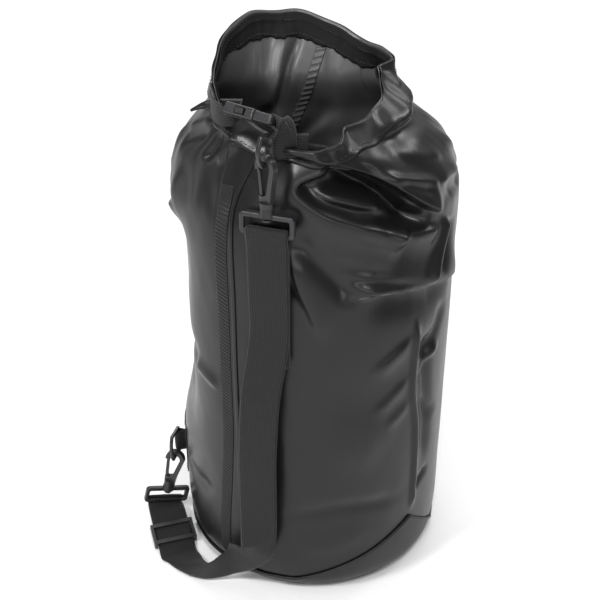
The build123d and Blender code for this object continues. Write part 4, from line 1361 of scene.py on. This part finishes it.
# ------------------------------------------------------------------------------------------- webbing
@dataclass
class MouthWebbing:
    """Webbing at the mouth: the tabs of the buckle and of the two rings."""

    wardrobe: Wardrobe
    buckle_centre: tuple[float, float, float] = (-46.0, -116.0, 495.0)
    buckle_yaw: float = -39.0
    buckle_tilt: float = 30.0
    tab_thickness: float = 1.6

    def buckle_axes(self) -> tuple[Array, Array, Array]:
        """Unit vectors along the buckle, across it and out of its face.

        Returns:
            The three vectors.
        """
        yaw, tilt = math.radians(self.buckle_yaw), math.radians(self.buckle_tilt)
        along = np.array([math.cos(yaw), math.sin(yaw), 0.0])
        level = np.array([-math.sin(yaw), math.cos(yaw), 0.0])
        face = np.array([0, 0, math.cos(tilt)]) + level * math.sin(tilt)
        return along, np.cross(face, along), face

    def at_buckle(self, along: float, face: float = 0.0) -> Array:
        """Place given on the buckle's own axes.

        Args:
            along: mm from its middle towards the male half.
            face: mm out of its face.

        Returns:
            The place, in mm.
        """
        a, _, f = self.buckle_axes()
        return np.array(self.buckle_centre) + a * along + f * face

    def banded(self, name: str, points: Sequence[Array], across: Sequence[Array], width: float,
               samples: int = 90) -> bpy.types.Object:
        """Ribbon through points, its width turning smoothly between the given directions.

        Args:
            name: the piece's name.
            points: points of its middle line, in mm.
            across: direction of its width at each of them.
            width: its width, in mm.
            samples: points along it.

        Returns:
            The object.
        """
        line = catmull_rom(np.array(points, float), samples) * MM
        side = unit(catmull_rom(np.array(across, float), samples))
        return ribbon(name, line, side, width * MM, self.tab_thickness * MM, 13)

    def left_band(self) -> bpy.types.Object:
        """Webbing from the left of the mouth through the female half's slot and back on itself."""
        _, cross, _ = self.buckle_axes()
        slot = -20.9
        points = [(-87.8, -57, 488), (-86, -72, 488), (-80.5, -86.5, 488), (-72, -96.5, 490),
                  self.at_buckle(slot - 4.5, 3.2), self.at_buckle(slot - 1.4, 3.6), self.at_buckle(slot, 0.0),
                  self.at_buckle(slot - 1.6, -4.2), self.at_buckle(slot - 8, -4.4)]
        sides = [UP, UP, UP, unit(UP * 0.8 - cross * 0.2), *[-cross] * 5]
        obj = self.banded("left_band", points, sides, 20.0, 150)
        self.wardrobe.dress(obj, Slot.WEBBING, "", "left_buckle_webbing")
        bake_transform(obj)
        return obj

    def right_band(self) -> bpy.types.Object:
        """Webbing along the front of the mouth, to the right of the ring's tab."""
        points = [(-9, -119.2, 466), (2, -119.8, 465), (14, -118.4, 461.5), (25, -114.6, 458.5),
                  (33.5, -109.2, 457)]
        lean = unit(np.array([0.08, 0.0, 1.0]))
        obj = self.banded("right_band", points, [lean, lean, lean, UP, UP], 17.0, 90)
        return self.wardrobe.dress(obj, Slot.WEBBING, "bag", "right_buckle_webbing")

    def male_loop(self) -> bpy.types.Object:
        """Webbing that goes through the male half's slot and turns down into the ring's tab."""
        _, cross, _ = self.buckle_axes()
        slot = 16.8
        points = [(-26.5, -124.6, 474), (-27.5, -124.8, 482), self.at_buckle(slot + 4.6, -5.0),
                  self.at_buckle(slot + 1.8, -3.8), self.at_buckle(slot, 0.0), self.at_buckle(slot + 2.0, 3.9),
                  self.at_buckle(slot + 5.4, 2.2), (-25.0, -127.2, 486), (-24.8, -126.0, 474)]
        ahead = unit(np.array([1.0, 0.06, 0.0]))
        sides = [-ahead, -ahead, *[-cross] * 5, -ahead, -ahead]
        obj = self.banded("male_loop", points, sides, 18.0, 120)
        return self.wardrobe.dress(obj, Slot.WEBBING, "bag")

    def tab(self, name: str, bar: Sequence[float], away: Sequence[float], length: float, low: float,
            high: float) -> bpy.types.Object:
        """Webbing folded round a ring's upright bar.

        In plan it runs back from the far end, round the bar in a half circle and out again, its two plies
        closing in on each other behind the bar.

        Args:
            name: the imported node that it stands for.
            bar: the bar's place in plan, in mm.
            away: direction in which the plies run, in plan.
            length: length of the plies, in mm.
            low: bottom of the webbing, in mm.
            high: top of the webbing, in mm.

        Returns:
            The object.
        """
        ahead = unit(np.array([away[0], away[1], 0.0]))
        side = np.array([-ahead[1], ahead[0], 0.0])
        middle = np.array([bar[0], bar[1], (low + high) / 2])
        radius, closed, closing = 3.2, 0.9, 14.0
        turn = np.linspace(-math.pi / 2, -3 * math.pi / 2, 25)
        out = np.linspace(length, 0.0, 26)[:-1]
        pinch = closed + (radius - closed) * smoothstep(min(closing, length), 0.0, out)
        first = middle + ahead * out[:, None] - side * pinch[:, None]
        bow = middle + ahead * (radius * np.cos(turn))[:, None] + side * (radius * np.sin(turn))[:, None]
        last = (middle + ahead * out[:, None] + side * pinch[:, None])[::-1]
        line = np.concatenate([first, bow, last]) * MM
        upright = np.tile(UP, (len(line), 1))
        obj = ribbon(name + "_folded", line, upright, (high - low) * MM, 1.5 * MM, 13)
        return self.wardrobe.dress(obj, Slot.WEBBING, "bag", name)

    def build(self) -> None:
        """Makes the four pieces of webbing."""
        self.left_band()
        self.right_band()
        self.male_loop()
        self.tab("upper_ring_tab", (-32.0, -124.0), (1.0, 0.06), 25.0, 463.9, 483.9)
        self.tab("lower_ring_tab", (-143.0, 0.0), (1.0, 0.0), 8.4, 79.5, 104.5)


@dataclass
class ShoulderStrap:
    """The 38 mm shoulder strap, with a wrap on each frame's bar and the stitches at its sewn end.

    Two plies are sewn together at the top, and one hangs down, turns at its foot and runs along the floor
    to the lower frame. Lengths and places are in mm. wrap is the radius of the webbing round a bar.
    """

    wardrobe: Wardrobe
    width: float = 38.0
    thickness: float = 2.0
    wrap: float = 4.1
    sewn_low: float = 273.0
    upper_bar: tuple[float, float, float] = (-40.03, -132.918, 401.85)
    upper_side: tuple[float, float, float] = (0.939693, -0.34202, 0.0)
    upper_face: tuple[float, float, float] = (-0.34202, -0.939693, 0.0)
    lower_side: tuple[float, float, float] = (0.920042, 0.317547, -0.229536)
    lower_bar: tuple[float, float, float] = (-160.037, -11.5911, 19.161)
    floor_ahead: tuple[float, float, float] = (0.299626, -0.938827, -0.169788)

    def long_ply(self) -> bpy.types.Object:
        """The webbing itself.

        It starts round the lower frame's bar, runs along the floor, straight where the slider moves, turns
        and rises up the front to the upper frame's bar, and comes down behind as the second ply.
        """
        ahead, side = np.array(self.floor_ahead), np.array(self.lower_side)
        bar = np.array(self.lower_bar)
        down = unit(np.cross(side, ahead))
        phase = np.linspace(-math.pi, 0, 14)[:-1]
        lower = bar + self.wrap * (down * np.cos(phase)[:, None] - ahead * np.sin(-phase)[:, None])
        start = bar + down * self.wrap
        face = np.array(self.upper_face)
        top_bar, top_side = np.array(self.upper_bar), np.array(self.upper_side)
        floor_run = [start + ahead * run for run in (0, 16, 44, 60, 73)]
        turn_run = [(-131.5, -93.5, 7.0), (-123.5, -107.0, 13.0), (-114.0, -117.5, 18.0),
                    (-103.0, -120.5, 20.5), (-91.5, -120.0, 25.0), (-80.5, -121.5, 32.5),
                    (-69.0, -128.5, 47.0), (-59.0, -136.5, 60.0), (-54.0, -140.5, 71.0)]
        hanging = [(-53.2, -140.6, 84.0), (-53.0, -139.6, 108.0), (-53.0, -138.4, 140.0),
                   (-52.6, -137.6, 180.0), (-49.0, -136.2, 240.0)]
        under_bar = [(*(top_bar + face * out)[:2], height)
                     for out, height in ((1.0, 300.0), (1.0, 350.0), (1.6, 388.0))]
        keys = [*floor_run, *turn_run, *hanging, *under_bar]
        flat = (0.95, 0.30, 0.0)
        sides = [side, flat, flat, flat, flat, (0.95, -0.10, 0.26), (0.79, -0.27, 0.56),
                 (0.51, -0.33, 0.79), (0.19, -0.29, 0.94), (-0.06, -0.22, 0.97), (-0.28, -0.14, 0.95),
                 (-0.72, 0.20, 0.66), (-0.93, 0.34, 0.12), (-0.90, 0.22, -0.36), (-0.92, 0.24, -0.30),
                 (-0.93, 0.30, -0.16), *[-top_side] * 6]
        samples, behind = 330, 40
        line = catmull_rom(np.array([tuple(k) for k in keys], float), samples)
        across = unit(catmull_rom(np.array([tuple(s) for s in sides], float), samples))
        turn = np.linspace(0.15, math.pi - 0.1, 18)
        upper = top_bar + self.wrap * (face * np.cos(turn)[:, None] + UP * np.sin(turn)[:, None])
        back = top_bar - face * np.array([1.7, 1.05, 1.0, 1.0])[:, None]
        back[:, 2] = (388.0, 350.0, 310.0, self.sewn_low)
        line = np.concatenate([lower, line, upper, catmull_rom(back, behind)]) * MM
        last = np.tile(-top_side, (len(upper) + behind, 1))
        across = np.concatenate([np.tile(side, (len(lower), 1)), across, last])
        pressed = 0.85 * self.thickness * MM
        obj = ribbon("strap_webbing", line, across, self.width * MM, pressed, 17, square=False)
        return self.wardrobe.dress(obj, Slot.WEBBING, "bag", "shoulder_strap")

    def sewn_rows(self) -> bpy.types.Object:
        """Rows of stitches across the strap's sewn end."""
        side, face = np.array(self.upper_side), np.array(self.upper_face)
        s = np.linspace(-15.5, 15.5, 12)
        rows = []
        for height in (275.5, 278.5, 281.5, 284.5):
            middle = np.array([*self.upper_bar[:2], height]) + face * 2.0
            rows.append(middle + side * s[:, None])
        place = np.concatenate(rows) * MM
        sides, faces = (np.tile(way, (len(place), 1)) for way in (side, face))
        obj = stitches("strap_stitches", place, sides, faces, 0.0024, 0.00032)
        return self.wardrobe.dress(obj, Slot.THREAD, "bag", "strap_stitching")

    def build(self) -> None:
        """Makes the strap and its stitches."""
        self.long_ply()
        self.sewn_rows()


@dataclass
class Hardware:
    """The moulded and steel parts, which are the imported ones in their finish."""

    wardrobe: Wardrobe
    plastic: tuple[str, ...] = (
        "buckle_female_half", "buckle_male_half", "buckle_outer_prong", "buckle_inner_prong",
        "upper_strap_frame", "upper_swivel_pin", "upper_hook_body", "upper_hook_gate",
        "lower_strap_frame", "lower_swivel_pin", "lower_hook_body", "lower_hook_gate", "strap_slider",
    )
    rings: tuple[str, ...] = ("upper_d_ring", "lower_d_ring")
    pins: tuple[str, ...] = ("upper_gate_pin", "lower_gate_pin")

    def build(self) -> None:
        """Dresses each part."""
        for names, slot in ((self.plastic, Slot.PLASTIC), (self.rings, Slot.RING), (self.pins, Slot.STEEL)):
            for name in names:
                self.wardrobe.redress(name, slot)


# ------------------------------------------------------------------------------------------- studio
@dataclass(frozen=True)
class Lamp:
    """Rectangular soft lamp at a place, aimed at a point. size is (width, height) and power is in watts."""

    name: str
    place: tuple[float, float, float]
    aim: tuple[float, float, float]
    size: tuple[float, float]
    power: float

    def hang(self) -> None:
        """Puts the lamp in the scene."""
        data = bpy.data.lights.new(self.name, "AREA")
        data.shape, data.energy = "RECTANGLE", self.power
        data.size, data.size_y = self.size
        obj = bpy.data.objects.new(self.name, data)
        obj.location = self.place
        obj.rotation_euler = (Vector(self.aim) - Vector(self.place)).to_track_quat("-Z", "Y").to_euler()
        bpy.context.scene.collection.objects.link(obj)


@dataclass
class Studio:
    """Camera, floor and soft light."""

    target: tuple[float, float, float] = (-0.0135, 0.0, 0.2627)
    elevation: float = 30.0
    distance: float = 1.0508
    lens: float = 63.96
    sensor: float = 36.0
    room_light: float = 0.27
    floor_size: float = 9.0
    lamps: tuple[Lamp, ...] = (
        Lamp("overhead", (0.1, 0.1, 2.4), (0.0, 0.0, 0.0), (1.5, 1.5), 14.0),
        Lamp("key_softbox", (-0.80, -0.72, 1.32), (0.0, -0.05, 0.42), (0.24, 0.24), 11.0),
        Lamp("back_softbox", (1.05, 0.52, 1.40), (0.03, -0.12, 0.43), (0.30, 0.30), 4.0),
        Lamp("front_strip", (0.0, -1.90, 0.76), (0.0, -0.12, 0.42), (2.6, 0.26), 14.0),
        Lamp("mouth_fill", (0.05, -1.00, 1.60), (-0.01, 0.04, 0.44), (0.30, 0.30), 12.0),
        Lamp("left_strip", (-1.3, 0.05, 0.5), (0.0, 0.0, 0.3), (0.25, 1.0), 1.5),
        Lamp("far_floor", (0.0, 2.4, 2.2), (0.0, 2.0, 0.0), (4.0, 1.6), 60.0),
    )

    def camera(self) -> None:
        """Camera in front of the bag, looking down at it."""
        data = bpy.data.cameras.new("camera")
        data.lens, data.sensor_width = self.lens, self.sensor
        data.clip_start, data.clip_end = 0.01, 50.0
        obj = bpy.data.objects.new("camera", data)
        angle = math.radians(self.elevation)
        obj.location = Vector(self.target) + Vector((0, -math.cos(angle), math.sin(angle))) * self.distance
        obj.rotation_euler = (math.radians(90 - self.elevation), 0, 0)
        bpy.context.scene.collection.objects.link(obj)
        bpy.context.scene.camera = obj

    def floor(self) -> None:
        """Level pale floor, wide enough to fill every view."""
        count, below = 21, 0.0004
        steps = np.linspace(-self.floor_size, self.floor_size, count)
        x, y = np.meshgrid(steps, steps)
        points = np.stack([x, y, np.full_like(x, -below)], -1)
        obj = make_object("studio_floor", points, grid_faces(count, count, False, False))
        obj.data.materials.append(StudioPaper().build())

    def build(self) -> None:
        """Sets up the studio."""
        world = bpy.data.worlds.new("soft_room")
        world.use_nodes = True
        background = world.node_tree.nodes["Background"]
        background.inputs["Color"].default_value = (1, 1, 1, 1)
        background.inputs["Strength"].default_value = self.room_light
        bpy.context.scene.world = world
        bpy.context.scene.view_settings.view_transform = "Standard"
        self.camera()
        self.floor()
        for lamp in self.lamps:
            lamp.hang()


def main() -> None:
    """Builds the studio, then the bag's sub-assemblies in order."""
    logging.basicConfig(level=logging.INFO, format="%(message)s")
    Studio().build()
    wardrobe = Wardrobe()
    BagShell(BagFabric(), wardrobe).build()
    MouthWebbing(wardrobe).build()
    ShoulderStrap(wardrobe).build()
    Hardware(wardrobe).build()


if __name__ == "__main__":
    main()
